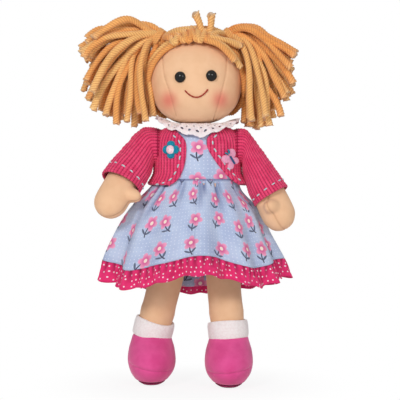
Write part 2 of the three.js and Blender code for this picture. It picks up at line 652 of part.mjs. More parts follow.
function makeArm(side, sign, pose, sleeveLength) {
  const frame = frameAt(doll, [sign * armX, 0, shoulder], [-pose.forward, 0, 0]);
  const out = radians(pose.out);
  const outward = new THREE.Vector3(sign, 0, 0);
  const along = new THREE.Vector3(sign * Math.sin(out), 0, -Math.cos(out));
  const start = outward.clone().multiplyScalar(GAP);
  const corner = start.clone().addScaledVector(outward, SHOULDER_BEND);
  const down = (distance) => corner.clone().addScaledVector(along, distance - SHOULDER_BEND);
  const elbow = new THREE.QuadraticBezierCurve3(start, corner, down(2 * SHOULDER_BEND));
  const pathTo = (distance) => {
    const path = new THREE.CurvePath();
    path.add(elbow);
    path.add(new THREE.LineCurve3(down(2 * SHOULDER_BEND), down(distance)));
    return path;
  };
  const armPath = pathTo(ARM_LENGTH);

  const length = armPath.getLength();
  const wrist = length - HAND_LENGTH;
  const stations = [
    [0, ARM_RADIUS],
    [wrist * 0.5, ARM_RADIUS],
    [wrist, ARM_RADIUS + 0.7 * (HAND_RADIUS - ARM_RADIUS)],
    [wrist + HAND_LENGTH * 0.42, HAND_RADIUS],
    [wrist + HAND_LENGTH * 0.68, HAND_RADIUS * 0.92],
    [wrist + HAND_LENGTH * 0.9, HAND_RADIUS * 0.58],
    [length, 1],
  ];
  const mitten = limb(armPath, swelling(stations, length, 13), 16, HAND_FLATNESS);

  // the thumb leaves the side of the hand, turned from the doll's middle towards its front
  const palm = down(ARM_LENGTH - HAND_LENGTH * THUMB_RISE);
  const inward = new THREE.Vector3(-sign * Math.cos(out), 0, -Math.sin(out));
  const turn = radians(pose.thumbTurn);
  const reach = THREE.MathUtils.lerp(1, HAND_FLATNESS, Math.sin(turn)) * THUMB_REACH;
  const thumbWay = inward.multiplyScalar(Math.cos(turn)).add(new THREE.Vector3(0, -Math.sin(turn), 0));
  const lift = -HAND_LENGTH * pose.thumbLift;
  const thumbTip = palm.clone().addScaledVector(thumbWay, reach).addScaledVector(along, lift);
  const thumbSections = [
    [0, THUMB_RADIUS],
    [0.5, THUMB_RADIUS * 0.95],
    [0.75, THUMB_RADIUS * 0.76],
    [0.92, THUMB_RADIUS * 0.45],
    [1, GAP],
  ];
  const thumb = limb(new THREE.LineCurve3(palm, thumbTip), thumbSections, 10);
  piece(frame, `${side}_arm`, join(mitten, thumb), skin);

  // the sleeve widens towards the hand
  const sleeveFace = (growth) => {
    const count = 8;
    const sections = Array.from({ length: count + 1 }, (_, i) => [
      i / count,
      THREE.MathUtils.lerp(sleeveTopRadius, sleeveEndRadius, i / count) + growth,
    ]);
    return sectionRings(pathTo(sleeveLength), sections, 18);
  };
  const sleeve = loft([...sleeveFace(0), ...sleeveFace(-SLEEVE_THICKNESS).reverse()], true);
  piece(frame, `${side}_sleeve`, sleeve, pinkKnit);
}
makeArm("left", 1, LEFT_ARM_POSE, LEFT_SLEEVE_LENGTH);
makeArm("right", -1, RIGHT_ARM_POSE, RIGHT_SLEEVE_LENGTH);

// Neck: a stub on the body that swells to the ball the head turns and nods on

const stubFoot = torsoTop + GAP;
const pivot = stubFoot + NECK_STUB_HEIGHT + Math.sqrt(NECK_BALL_RADIUS ** 2 - NECK_STUB_RADIUS ** 2);
const NECK_RINGS = 6;
const neckArc = Array.from({ length: NECK_RINGS + 1 }, (_, i) => {
  const low = Math.PI - Math.asin(NECK_STUB_RADIUS / NECK_BALL_RADIUS);
  const turn = low * (1 - i / NECK_RINGS);
  return [NECK_BALL_RADIUS * Math.sin(turn), pivot + NECK_BALL_RADIUS * Math.cos(turn)];
});
piece(doll, "neck", turned([[0, stubFoot], [NECK_STUB_RADIUS, stubFoot], ...neckArc], 16), skin);

// Head, in a frame at the neck's pivot, tilted a little

const headFrame = frameAt(doll, [0, 0, pivot], [0, HEAD_TILT, 0]);
const headMiddle = torsoTop + CHIN_LIFT + HEAD_HEIGHT / 2 - pivot;
function headForm(growth) {
  const size = [HEAD_WIDTH, HEAD_DEPTH, HEAD_HEIGHT].map((s) => s / 2 + growth);
  return new THREE.SphereGeometry(1, 22, 14)
    .rotateX(Math.PI / 2)
    .scale(...size)
    .translate(0, 0, headMiddle);
}

// A point on the face, seen from in front, and the way that the cloth faces there.
function onFace(across, rise) {
  const share = (across / (HEAD_WIDTH / 2)) ** 2 + (rise / (HEAD_HEIGHT / 2)) ** 2;
  const y = (-HEAD_DEPTH / 2) * Math.sqrt(1 - share);
  const normal = new THREE.Vector3(across / HEAD_WIDTH ** 2, y / HEAD_DEPTH ** 2, rise / HEAD_HEIGHT ** 2);
  return { point: new THREE.Vector3(across, y, headMiddle + rise), normal: normal.normalize() };
}

// Eyes: a domed button on a stem, held behind the cloth by a washer

const facingOut = (normal) => new THREE.Quaternion().setFromUnitVectors(new THREE.Vector3(0, 0, 1), normal);
const washerFront = GAP - EYE_STEM_LENGTH + WASHER_THICKNESS + 2 * GAP;
const eyeProfile = [
  [0, GAP - EYE_STEM_LENGTH],
  [EYE_STEM_RADIUS, GAP - EYE_STEM_LENGTH],
  [EYE_STEM_RADIUS, GAP],
  [EYE_RADIUS, GAP],
  ...[0.25, 0.5, 0.75].map((share) => {
    const turn = (share * Math.PI) / 2;
    return [EYE_RADIUS * Math.cos(turn), GAP + EYE_DOME * Math.sin(turn)];
  }),
  [0, GAP + EYE_DOME],
];
const washerBack = washerFront - WASHER_THICKNESS;
const washerProfile = [
  [EYE_STEM_RADIUS + GAP, washerBack],
  [WASHER_RADIUS, washerBack],
  [WASHER_RADIUS, washerFront],
  [EYE_STEM_RADIUS + GAP, washerFront],
  [EYE_STEM_RADIUS + GAP, washerBack],
];
const socketBack = -EYE_STEM_LENGTH;
const eyeSocketProfile = [
  [0, socketBack],
  [WASHER_RADIUS + GAP, socketBack],
  [WASHER_RADIUS + GAP, washerFront + GAP],
  [EYE_STEM_RADIUS + GAP, washerFront + GAP],
  [EYE_STEM_RADIUS + GAP, EYE_DOME],
  [0, EYE_DOME],
];
const eyeSockets = [];
for (const [side, sign] of [["left", 1], ["right", -1]]) {
  const { point, normal } = onFace((sign * EYE_SPREAD) / 2, EYE_RISE);
  const place = (geometry) => geometry.applyQuaternion(facingOut(normal)).translate(...point.toArray());
  piece(headFrame, `${side}_eye`, place(turned(eyeProfile, 14)), blackGloss);
  piece(headFrame, `${side}_eye_washer`, place(turned(washerProfile, 12)), whitePlastic);
  eyeSockets.push(place(turned(eyeSocketProfile, 12)));
}
const neckSocket = new THREE.SphereGeometry(NECK_BALL_RADIUS + 2 * GAP, 18, 12).rotateX(Math.PI / 2);
piece(headFrame, "head", cut(headForm(0), neckSocket, ...eyeSockets), skin);

// Mouth: one stitched thread lying on the face
const mouthPoints = Array.from({ length: 9 }, (_, i) => {
  const across = MOUTH_WIDTH * (i / 8 - 0.5);
  const rise = -MOUTH_DROP - MOUTH_CURVE * (1 - ((2 * across) / MOUTH_WIDTH) ** 2);
  const { point, normal } = onFace(across, rise);
  return point.addScaledVector(normal, GAP + MOUTH_THREAD_RADIUS);
});
const mouthCurve = new THREE.CatmullRomCurve3(mouthPoints);
piece(headFrame, "mouth_stitch", tube(mouthCurve, MOUTH_THREAD_RADIUS, 12, 5), redThread);

// Hair: a cap of yarn sewn over the head, open at the face and the nape

const tilt = radians(HAIRLINE_TILT);
const far = 2 * HEAD_HEIGHT;
const faceSide = block([-far, -far, -far], [far, -HAIRLINE_AHEAD, far])
  .rotateX(tilt)
  .translate(0, 0, headMiddle);
const belowNape = block([-far, -far, -far], [far, far, headMiddle - NAPE_DROP]);
const capForm = (growth) => cut(headForm(HAIR_THICKNESS + growth), faceSide, belowNape);
piece(headFrame, "hair_cap", cut(capForm(0), headForm(GAP)), honeyYarn);

// A place over the head: tilted forward from the crown, then rolled round towards the doll's left.
function overHead(forward, roll, lift) {
  const way = new THREE.Vector3(0, -Math.sin(radians(forward)), Math.cos(radians(forward)));
  way.applyAxisAngle(new THREE.Vector3(0, 1, 0), radians(roll));
  const half = new THREE.Vector3(HEAD_WIDTH / 2 + lift, HEAD_DEPTH / 2 + lift, HEAD_HEIGHT / 2 + lift);
  return way.multiply(half).add(new THREE.Vector3(0, 0, headMiddle));
}

// Fringe: loops of yarn side by side over the brow, with longer ends at the doll's left temple
const yarnLift = HAIR_THICKNESS + YARN_RADIUS + 2 * GAP;
function fringeLoop([roll, start, end], growth = 0) {
  const stops = [0, 0.35, 0.7, 1].map((s) => overHead(THREE.MathUtils.lerp(start, end, s), roll, yarnLift));
  const rounded = [[0, 0.6], [0.12, 1], [0.5, 1], [0.88, 0.95], [1, 0.45]];
  return limb(new THREE.CatmullRomCurve3(stops), rounded.map(([s, r]) => [s, r * YARN_RADIUS + growth]), 5);
}
// each loop's roll, start and end in degrees, close enough to hold on to its neighbour
const loopStep = THREE.MathUtils.radToDeg((1.8 * YARN_RADIUS) / (HEAD_WIDTH / 2 + yarnLift));
const loopCount = Math.ceil(FRINGE_SPAN / loopStep) + 1;
const loops = Array.from({ length: loopCount }, (_, i) => {
  const roll = FRINGE_SPAN * (i / (loopCount - 1) - 0.5);
  return [roll, -2, 42 + 3 * Math.cos(2.4 * i)];
});
for (const i of [1, 2, 3]) {
  loops.push([FRINGE_SPAN / 2 + i * loopStep, 23 + 4 * i, 44 + 8 * i]);
}
const fringeForm = (growth) => join(...loops.map((loop) => fringeLoop(loop, growth)));
piece(headFrame, "fringe", fringeForm(0), honeyYarn);

// Two cut ends stand up out of the fringe
const TUFTS = { left: { roll: 18, lean: 12 }, right: { roll: 7.5, lean: -14 } };
for (const [side, { roll, lean }] of Object.entries(TUFTS)) {
  const foot = overHead(24, roll, yarnLift + YARN_RADIUS);
  const up = new THREE.Vector3(Math.sin(radians(lean)), -0.15, Math.cos(radians(lean))).normalize();
  const bow = foot.clone().addScaledVector(up, TUFT_LENGTH * 0.55);
  bow.x += TUFT_RADIUS / 2;
  const top = foot.clone().addScaledVector(up, TUFT_LENGTH);
  const stalk = new THREE.CatmullRomCurve3([foot, bow, top]);
  const strand = limb(stalk, [[0, TUFT_RADIUS], [0.5, TUFT_RADIUS], [1, TUFT_RADIUS]], 8);
  piece(headFrame, `fringe_tuft_${side}`, cut(strand, fringeForm(GAP)), honeyYarn);
}

// Bunches: locks of yarn tied at each side of the head, arching out and falling

// The way a bunch goes from its tie, as shares of its length: out, up, and half its width there.
const BUNCH_COURSE = [
  [0.13, 0.05, 0.22],
  [0.36, -0.09, 0.34],
  [0.51, -0.34, 0.42],
  [0.5, -0.68, 0.41],
  [0.42, -1, 0.32],
];
const widest = Math.max(...BUNCH_COURSE.map(([, , half]) => half));

function bunch(sign, length) {
  const tie = overHead(0, sign * BUNCH_ROLL, HAIR_THICKNESS + BUNCH_STAND);
  const root = overHead(0, sign * BUNCH_ROLL, 0);
  const place = ([out, up]) => tie.clone().add(new THREE.Vector3(sign * out * length, 0, up * length));
  const path = new THREE.CatmullRomCurve3([root, tie, ...BUNCH_COURSE.map(place)]);
  const halves = [BUNCH_NECK_RADIUS, BUNCH_NECK_RADIUS, ...BUNCH_COURSE.map(([, , half]) => half * length)];
  const last = halves.length - 1;
  const widths = new THREE.SplineCurve(halves.map((half, i) => new THREE.Vector2(i / last, half)));
  const flatness = BUNCH_DEPTH / (2 * widest * length);
  const count = 10;
  const rings = Array.from({ length: count + 1 }, (_, i) => {
    const share = i / count;
    const centre = path.getPoint(share);
    const across = new THREE.Vector3(0, 1, 0).cross(path.getTangent(share)).normalize();
    const deep = new THREE.Vector3(0, flatness, 0);
    const half = widths.getPoint(share).y;
    const groove = THREE.MathUtils.smoothstep(share, 0.15, 0.5) * BUNCH_GROOVE;
    return circle(2 * BUNCH_LOCKS).map(([c, s], j) => {
      const out = half - (j % 2) * groove;
      return centre.clone().addScaledVector(across, out * c).addScaledVector(deep, out * s);
    });
  });
  const facing = facingOut(path.getTangent(1 / last));
  const ring = (cord) => {
    const section = circle(6).map(([c, s]) => [BUNCH_NECK_RADIUS + TIE_CORD_RADIUS / 2 + cord * c, cord * s]);
    return turned([...section, section[0]], 16).applyQuaternion(facing).translate(...tie.toArray());
  };
  return { hair: loft(rings), ring };
}

for (const [side, sign, length] of [["left", 1, LEFT_BUNCH_LENGTH], ["right", -1, RIGHT_BUNCH_LENGTH]]) {
  const { hair, ring } = bunch(sign, length);
  const tieGroove = ring(TIE_CORD_RADIUS + GAP);
  const trimmed = cut(hair, capForm(2 * GAP), headForm(GAP), fringeForm(GAP), tieGroove);
  piece(headFrame, `${side}_bunch`, trimmed, honeyYarn);
  piece(headFrame, `${side}_bunch_tie`, ring(TIE_CORD_RADIUS), honeyYarn);
}

// The middle of the doll's box goes over the origin.
const middle = new THREE.Box3().setFromObject(part).getCenter(new THREE.Vector3());
doll.position.set(-middle.x, -middle.y, 0);

export default part;
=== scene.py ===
# %% [markdown]
# # Dressing a rag doll
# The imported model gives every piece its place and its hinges. This lesson makes what a hand would feel:
# stuffed jersey, plied yarn, a knitted cardigan, printed cotton, lace, felt and fleece. Every piece stays
# where its solid is and moves with the same body, so the doll can still turn its head and swing its limbs.

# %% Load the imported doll
import json
import math

import bmesh
import bpy
import numpy as np
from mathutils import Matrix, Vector

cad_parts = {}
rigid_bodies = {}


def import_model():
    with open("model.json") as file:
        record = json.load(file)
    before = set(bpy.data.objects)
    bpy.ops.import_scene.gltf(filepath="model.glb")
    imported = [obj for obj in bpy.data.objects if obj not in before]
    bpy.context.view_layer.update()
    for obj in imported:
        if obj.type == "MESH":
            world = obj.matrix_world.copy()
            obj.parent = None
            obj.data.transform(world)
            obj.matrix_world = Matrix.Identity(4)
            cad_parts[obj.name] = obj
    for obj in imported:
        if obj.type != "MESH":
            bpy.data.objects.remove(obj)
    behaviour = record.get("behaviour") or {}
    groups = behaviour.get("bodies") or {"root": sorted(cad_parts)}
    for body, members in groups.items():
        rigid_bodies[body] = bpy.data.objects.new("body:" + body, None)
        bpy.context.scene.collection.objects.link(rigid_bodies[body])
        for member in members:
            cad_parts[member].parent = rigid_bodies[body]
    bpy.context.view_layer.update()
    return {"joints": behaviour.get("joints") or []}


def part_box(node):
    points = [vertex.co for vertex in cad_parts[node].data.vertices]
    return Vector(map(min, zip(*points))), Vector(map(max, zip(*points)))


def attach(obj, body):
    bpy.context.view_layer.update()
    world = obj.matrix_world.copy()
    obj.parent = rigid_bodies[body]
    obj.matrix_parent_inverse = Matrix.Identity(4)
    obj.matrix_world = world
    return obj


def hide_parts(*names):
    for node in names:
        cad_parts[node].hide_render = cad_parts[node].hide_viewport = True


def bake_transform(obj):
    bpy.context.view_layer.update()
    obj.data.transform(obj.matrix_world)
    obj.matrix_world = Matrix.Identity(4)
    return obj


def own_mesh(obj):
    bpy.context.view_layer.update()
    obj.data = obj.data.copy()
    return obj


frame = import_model()
MM = 0.001
hinges = {joint["name"]: np.array(joint["pos_m"]) / MM for joint in frame["joints"]}
MIDDLE = np.array([*hinges["neck_nod"][:2], 0.0])
pivots = {name: spot - MIDDLE for name, spot in hinges.items()}
SIDES = {"left": 1, "right": -1}

def box_of(node):
    return [np.array(corner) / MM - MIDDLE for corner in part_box(node)]

# %% [markdown]
# ## The camera
# The doll is seen straight on through a long lens, so that upright edges stay upright. The lens could be
# found by trial; here it follows from how far away the camera stands and how wide a strip it sees.

# %% Camera
VIEW_WIDTH = 372.0
CAMERA_DISTANCE = 1350.0
CAMERA_HEIGHT = 205.0
AIM = MIDDLE + np.array([2.3, 0, 172.0])

def put(name, data):
    thing = bpy.data.objects.new(name, data)
    bpy.context.scene.collection.objects.link(thing)
    return thing

def look_at(thing, target):
    thing.rotation_euler = (target - thing.location).to_track_quat("-Z", "Y").to_euler()

lens = bpy.data.cameras.new("camera")
camera = put("camera", lens)
camera.location = Vector((AIM[0], -CAMERA_DISTANCE, CAMERA_HEIGHT)) * MM
look_at(camera, Vector(AIM) * MM)
lens.sensor_width = 36
lens.lens = lens.sensor_width * CAMERA_DISTANCE / VIEW_WIDTH
bpy.context.scene.camera = camera
bpy.context.scene.view_settings.view_transform = "Standard"
print("lens", round(lens.lens), "mm")

# %% [markdown]
# ## Small helpers for finishes
# A finish is a Principled shader with a few texture nodes in front of it. Nodes could be dragged together by
# hand in the shader editor; in a script, `wire` adds one node and either sets or links each of its sockets,
# so a finish reads as a short list. Colours are written as they look on screen.

# %% Nodes and colours
SHEEN_ROUGHNESS = 0.45

def dye(red, green, blue):
    screen = np.array([red, green, blue]) / 255
    linear = np.where(screen <= 0.04045, screen / 12.92, ((screen + 0.055) / 1.055) ** 2.4)
    return (*linear.tolist(), 1.0)

def principled(finish):
    return finish.node_tree.nodes["Principled BSDF"]

def new_finish(name, roughness, sheen=0.0, specular=0.3):
    finish = bpy.data.materials.new(name)
    finish.use_nodes = True
    sockets = principled(finish).inputs
    sockets["Roughness"].default_value = roughness
    sockets["Specular IOR Level"].default_value = specular
    sockets["Sheen Weight"].default_value = sheen
    sockets["Sheen Roughness"].default_value = SHEEN_ROUGHNESS
    return finish

def wire(finish, kind, inputs=None, **settings):
    node = finish.node_tree.nodes.new("ShaderNode" + kind)
    for key, value in settings.items():
        setattr(node, key, value)
    for key, value in (inputs or {}).items():
        if isinstance(value, bpy.types.NodeSocket):
            finish.node_tree.links.new(value, node.inputs[key])
        else:
            node.inputs[key].default_value = value
    return node

def give(finish, socket, value):
    finish.node_tree.links.new(value, principled(finish).inputs[socket])

def on_object(finish):
    return wire(finish, "TexCoord").outputs["Object"]

def on_cloth(finish):
    return wire(finish, "TexCoord").outputs["UV"]

def painted(finish, name):
    return wire(finish, "Attribute", attribute_name=name).outputs["Fac"]

print("node helpers are ready")

# %% [markdown]
# ## Mixing values
# Most finishes take the same few steps: reckon with a value, soften an edge, mix two colours, raise a bump.
# They could be wired anew each time; as functions they leave a finish only its own colours and sizes.

# %% Mixing helpers
def calc(finish, operation, *values):
    return wire(finish, "Math", dict(enumerate(values)), operation=operation).outputs[0]

def tint(finish, amount, under, over):
    """Mixes two colours. Each is a screen colour or comes from another node."""
    under, over = (dye(*colour) if isinstance(colour, tuple) else colour for colour in (under, over))
    return wire(finish, "Mix", {0: amount, 6: under, 7: over}, data_type="RGBA").outputs[2]

def ramp(finish, value, low, high, start=0.0, end=1.0):
    node = wire(finish, "MapRange", {0: value, 1: low, 2: high, 3: start, 4: end}, clamp=True)
    node.interpolation_type = "SMOOTHSTEP"
    return node.outputs[0]

def shaded(finish, value, low, high, under, over):
    return tint(finish, ramp(finish, value, low, high), under, over)

def noise(finish, where, scale, detail=2.0):
    return wire(finish, "TexNoise", {"Vector": where, "Scale": scale, "Detail": detail}).outputs[0]

def bump(finish, height, strength, distance):
    sockets = {"Height": height, "Strength": strength, "Distance": distance}
    give(finish, "Normal", wire(finish, "Bump", sockets).outputs[0])

def matted_finish(name, under, over, sheen, scale, detail, strength, distance, high=0.7):
    """Felt or fleece: fibres every way, two tones and a velvety edge."""
    finish = new_finish(name, 0.95, sheen, 0.1)
    fibres = noise(finish, on_object(finish), scale, detail)
    give(finish, "Base Color", shaded(finish, fibres, 0.3, high, under, over))
    bump(finish, fibres, strength, distance)
    return finish

print("mixing helpers are ready")

# %% [markdown]
# ## Light and floor
# Soft even light, as in a small photo tent: a pale surround, a large soft lamp up on the left, a weaker one on
# the right. A bright white surround would wash the doll out, so plain white is only for the eye and in a
# gloss: the pale floor fades into it, and no horizon shows.

# %% Surround and lamps
WHITE = (1, 1, 1, 1)
SURROUND_STRENGTH = 0.36
LAMPS = [
    ("window lamp", (-0.5, -1.12, 0.76), 0.26, 6.9),
    ("fill lamp", (0.6, -1.12, 0.66), 0.22, 3.5),
    ("top lamp", (0.1, 0.35, 1.3), 0.7, 2.0),
]
DOLL_WAIST = Vector((0.0, 0.0, 0.2))

def looking_rays(thing):
    """1 for what is seen, also in a gloss or through glass; 0 for light on its way."""
    rays = wire(thing, "LightPath").outputs
    indirect = calc(thing, "MAXIMUM", rays["Is Glossy Ray"], rays["Is Transmission Ray"])
    return calc(thing, "MAXIMUM", rays["Is Camera Ray"], indirect)

world = bpy.data.worlds.new("photo tent")
bpy.context.scene.world = world
world.use_nodes = True
surround = world.node_tree.nodes["Background"]
surround.inputs["Color"].default_value = WHITE
surround.inputs["Strength"].default_value = SURROUND_STRENGTH
backdrop = wire(world, "Background", {"Color": WHITE, "Strength": 1.0})
sky = wire(world, "MixShader", {0: looking_rays(world), 1: surround.outputs[0], 2: backdrop.outputs[0]})
world.node_tree.links.new(sky.outputs[0], world.node_tree.nodes["World Output"].inputs[0])

for name, place, size, power in LAMPS:
    light = bpy.data.lights.new(name, "AREA")
    light.size = size
    light.energy = power
    holder = put(name, light)
    holder.location = place
    look_at(holder, DOLL_WAIST)
print(len(LAMPS), "lamps are set")

# %% Floor
FLOOR_SIZE, FLOOR_LEVEL, FLOOR_PALE = 6.0, -0.0003, (0.98, 0.98, 0.98, 1)
WHITE_FROM, WHITE_TO, LEAST_WHITE = 0.05, 0.16, 0.88
floor_mesh = bpy.data.meshes.new("floor")
corners = [(x * FLOOR_SIZE, y * FLOOR_SIZE, FLOOR_LEVEL) for x, y in ((-1, -1), (1, -1), (1, 1), (-1, 1))]
floor_mesh.from_pydata(corners, [], [(0, 1, 2, 3)])
floor = put("floor", floor_mesh)
pale_floor = new_finish("pale floor", 1.0, specular=0.0)
principled(pale_floor).inputs["Base Color"].default_value = FLOOR_PALE
away = wire(pale_floor, "VectorMath", {0: on_object(pale_floor)}, operation="LENGTH").outputs["Value"]
glow = wire(pale_floor, "Emission", {"Color": WHITE, "Strength": 1.0}).outputs[0]
whiter = ramp(pale_floor, away, WHITE_FROM, WHITE_TO, LEAST_WHITE, 1.0)
white_share = calc(pale_floor, "MULTIPLY", whiter, looking_rays(pale_floor))
fade = wire(pale_floor, "MixShader", {0: white_share, 1: principled(pale_floor).outputs[0], 2: glow})
floor_tree = pale_floor.node_tree
floor_tree.links.new(fade.outputs[0], floor_tree.nodes["Material Output"].inputs[0])
floor_mesh.materials.append(pale_floor)
print("floor", 2 * FLOOR_SIZE, "m wide")

# %% [markdown]
# ## Pieces from points
# A mesh could be made with Blender's own primitives and bent into shape. Cloth has too many small forms for
# that, so points and faces are reckoned first and handed over in one go. Points are in millimetres about the
# doll's middle, as in the solid model.

# %% Pieces
def make_piece(name, points, faces, finish, uv=None, paint=None):
    """faces: index arrays, one for each count of corners; uv: the same, corner by corner."""
    mesh = bpy.data.meshes.new(name)
    world_points = (np.asarray(points, float).reshape(-1, 3) + MIDDLE) * MM
    mesh.vertices.add(len(world_points))
    mesh.vertices.foreach_set("co", world_points.astype(np.float32).ravel())
    corners = np.concatenate([f.ravel() for f in faces]).astype(np.int32)
    counts = np.concatenate([np.full(len(f), f.shape[1], np.int32) for f in faces])
    starts = np.concatenate([[0], np.cumsum(counts)[:-1]]).astype(np.int32)
    mesh.loops.add(len(corners))
    mesh.loops.foreach_set("vertex_index", corners)
    mesh.polygons.add(len(counts))
    mesh.polygons.foreach_set("loop_start", starts)
    mesh.polygons.foreach_set("use_smooth", np.ones(len(counts), bool))
    if uv is not None:
        flat = np.concatenate([u.reshape(-1, 2) for u in uv]).astype(np.float32)
        mesh.uv_layers.new(name="cloth").data.foreach_set("uv", flat.ravel())
    for key, values in (paint or {}).items():
        paint_on(mesh, key, values)
    mesh.update(calc_edges=True)
    mesh.validate()
    mesh.materials.append(finish)
    return put(name, mesh)

def paint_on(mesh, key, values):
    layer = mesh.attributes.new(key, "FLOAT", "POINT")
    layer.data.foreach_set("value", np.asarray(values, np.float32).ravel())

def settle(piece, body, slot, *nodes):
    """The piece moves with a body and stands for some solids, which are hidden. slot is not used."""
    if nodes:
        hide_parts(*nodes)
    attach(piece, body)
    print(piece.name, "on", body, "with", len(piece.data.polygons), "faces")

print("points become pieces with make_piece")

# %% [markdown]
# ## Grids
# Nearly every piece is a grid: rows of points that follow a form. Faces and normals follow from the order of
# the rows. Which way the faces look is measured, and turned round where it is wrong.

# %% Grids
def full_turn(count):
    return np.linspace(0, 2 * math.pi, count, endpoint=False)

def together(*parts):
    """Places from their parts, such as across, deep and up."""
    return np.stack(np.broadcast_arrays(*parts), -1)

def unit(ways):
    return ways / np.linalg.norm(ways, axis=-1, keepdims=True)

def grid_faces(rows, columns, closed, first=0, flip=False):
    r, c = np.meshgrid(np.arange(rows - 1), np.arange(columns if closed else columns - 1), indexing="ij")
    right = (c + 1) % columns
    quads = [r * columns + c, r * columns + right, (r + 1) * columns + right, (r + 1) * columns + c]
    quads = np.stack(quads, -1).reshape(-1, 4) + first
    return quads[:, ::-1] if flip else quads

def grid_uv(uv, flip=False):
    """Corner values for grid_faces; a closed grid has one more column of uv than of points."""
    quads = np.stack([uv[:-1, :-1], uv[:-1, 1:], uv[1:, 1:], uv[1:, :-1]], 2).reshape(-1, 4, 2)
    return quads[:, ::-1] if flip else quads

def grid_normals(grid, closed):
    across = np.roll(grid, -1, 1) - np.roll(grid, 1, 1) if closed else np.gradient(grid, axis=1)
    normals = np.cross(across, np.gradient(grid, axis=0))
    return normals / np.maximum(np.linalg.norm(normals, axis=2, keepdims=True), 1e-9)

def turned_in(grid, normals, inside):
    """True where the grid's normals point towards what is inside it."""
    return float(np.sum(normals * (grid - inside))) < 0

def outward_normals(grid, closed, inside):
    normals = grid_normals(grid, closed)
    return -normals if turned_in(grid, normals, inside) else normals

def quad_middles(grid, closed):
    right = np.roll(grid, -1, 1) if closed else grid[:, 1:]
    left = grid if closed else grid[:, :-1]
    return (left[:-1] + right[:-1] + left[1:] + right[1:]) / 4

print("grids have faces, flat places and normals")

# %% [markdown]
# ## Stuffed forms and cloth
# A padded form is a tube of rings, closed with a fan of triangles over each end. A cloth is a grid with two
# faces and an edge, because a sheet without thickness looks like paper and shows no hem. A Solidify modifier
# would give that too, but here the inner face has to match the outer one point by point for the joints.

# %% Stuffed forms
def end_fans(rows, columns, first=0):
    """Triangles from a tube's two ends to the two points that follow its grid."""
    j = np.arange(columns)
    k = (j + 1) % columns
    tip = first + rows * columns
    last = tip - columns
    return np.concatenate([
        np.stack([np.full(columns, tip), first + k, first + j], 1),
        np.stack([np.full(columns, tip + 1), last + j, last + k], 1),
    ])

def stuffed(name, grid, finish, paint=None):
    rows, columns = grid.shape[:2]
    flip = turned_in(grid, grid_normals(grid, True), grid.mean((0, 1)))
    points = np.concatenate([grid.reshape(-1, 3), [grid[0].mean(0), grid[-1].mean(0)]])
    quads, fans = grid_faces(rows, columns, True, flip=flip), end_fans(rows, columns)
    with_ends = {
        key: np.concatenate([np.ravel(v), [np.mean(v[0]), np.mean(v[-1])]]) for key, v in (paint or {}).items()
    }
    return make_piece(name, points, [quads, fans[:, ::-1] if flip else fans], finish, paint=with_ends)

print("rings become stuffed forms")

# %% Cloth
def trim_loose(piece, loose):
    sheet = bmesh.new()
    sheet.from_mesh(piece.data)
    sheet.verts.ensure_lookup_table()
    bmesh.ops.delete(sheet, geom=[sheet.verts[i] for i in np.flatnonzero(loose)], context="VERTS")
    sheet.to_mesh(piece.data)
    sheet.free()

def cut_edges(quads, count):
    """The sides that only one quad has, each from its first to its second point."""
    sides = np.stack([quads, np.roll(quads, -1, 1)], -1).reshape(-1, 2)
    key = np.sort(sides, 1)
    order = key[:, 0].astype(np.int64) * count + key[:, 1]
    _, where, uses = np.unique(order, return_index=True, return_counts=True)
    return sides[where[uses == 1]]

def cloth(name, grid, thickness, finish, closed, inside, uv=None, paint=None, holes=None):
    """A sheet with two faces and an edge. holes marks the quads left out."""
    rows, columns = grid.shape[:2]
    count = rows * columns
    flip = turned_in(grid, grid_normals(grid, closed), inside)
    lining = grid - outward_normals(grid, closed, inside) * thickness
    points = np.concatenate([grid.reshape(-1, 3), lining.reshape(-1, 3)])
    outer = grid_faces(rows, columns, closed, flip=flip)
    kept = np.ones(len(outer), bool) if holes is None else ~holes.ravel()
    outer = outer[kept]
    inner = outer[:, ::-1] + count
    rim = cut_edges(outer, count)
    edge = np.stack([rim[:, 1], rim[:, 0], rim[:, 0] + count, rim[:, 1] + count], 1)
    corner_uv = None
    if uv is not None:
        flat = grid_uv(uv, flip)[kept]
        by_point = np.zeros((2 * count, 2))
        by_point[outer.ravel()] = flat.reshape(-1, 2)
        by_point[count:] = by_point[:count]
        corner_uv = [np.concatenate([flat, flat[:, ::-1], by_point[edge]])]
    both_faces = {key: np.concatenate([np.ravel(v), np.ravel(v)]) for key, v in (paint or {}).items()}
    piece = make_piece(name, points, [np.concatenate([outer, inner, edge])], finish, corner_uv, both_faces)
    loose = np.ones(2 * count, bool)
    loose[np.concatenate([outer.ravel(), inner.ravel()])] = False
    if loose.any():
        trim_loose(piece, loose)
    return piece

print("grids become cloth")

# %% [markdown]
# ## Curves and unevenness
# Outlines are smooth curves through a few knots, as in the solid model. Handwork is never quite even, so
# slow waves in chance directions are laid over the forms. Blender's noise textures could do that through a
# Displace modifier; a few cosines do the same, and every draw is seeded.

# %% Curves
RIPPLE_WAVES = 7

def spline(knots, count):
    k = np.asarray(knots, float)
    t = np.linspace(0, len(k) - 1, count)
    i = np.minimum(t.astype(int), len(k) - 2)
    f = (t - i)[:, None]
    a, b, c, d = k[np.maximum(i - 1, 0)], k[i], k[i + 1], k[np.minimum(i + 2, len(k) - 1)]
    return b + 0.5 * f * (c - a + f * (2 * a - 5 * b + 4 * c - d + f * (3 * (b - c) + d - a)))

def smooth(x, low, high):
    t = np.clip((np.asarray(x, float) - low) / (high - low), 0, 1)
    return t * t * (3 - 2 * t)

def bell(x, width):
    return np.exp(-((x / width) ** 2))

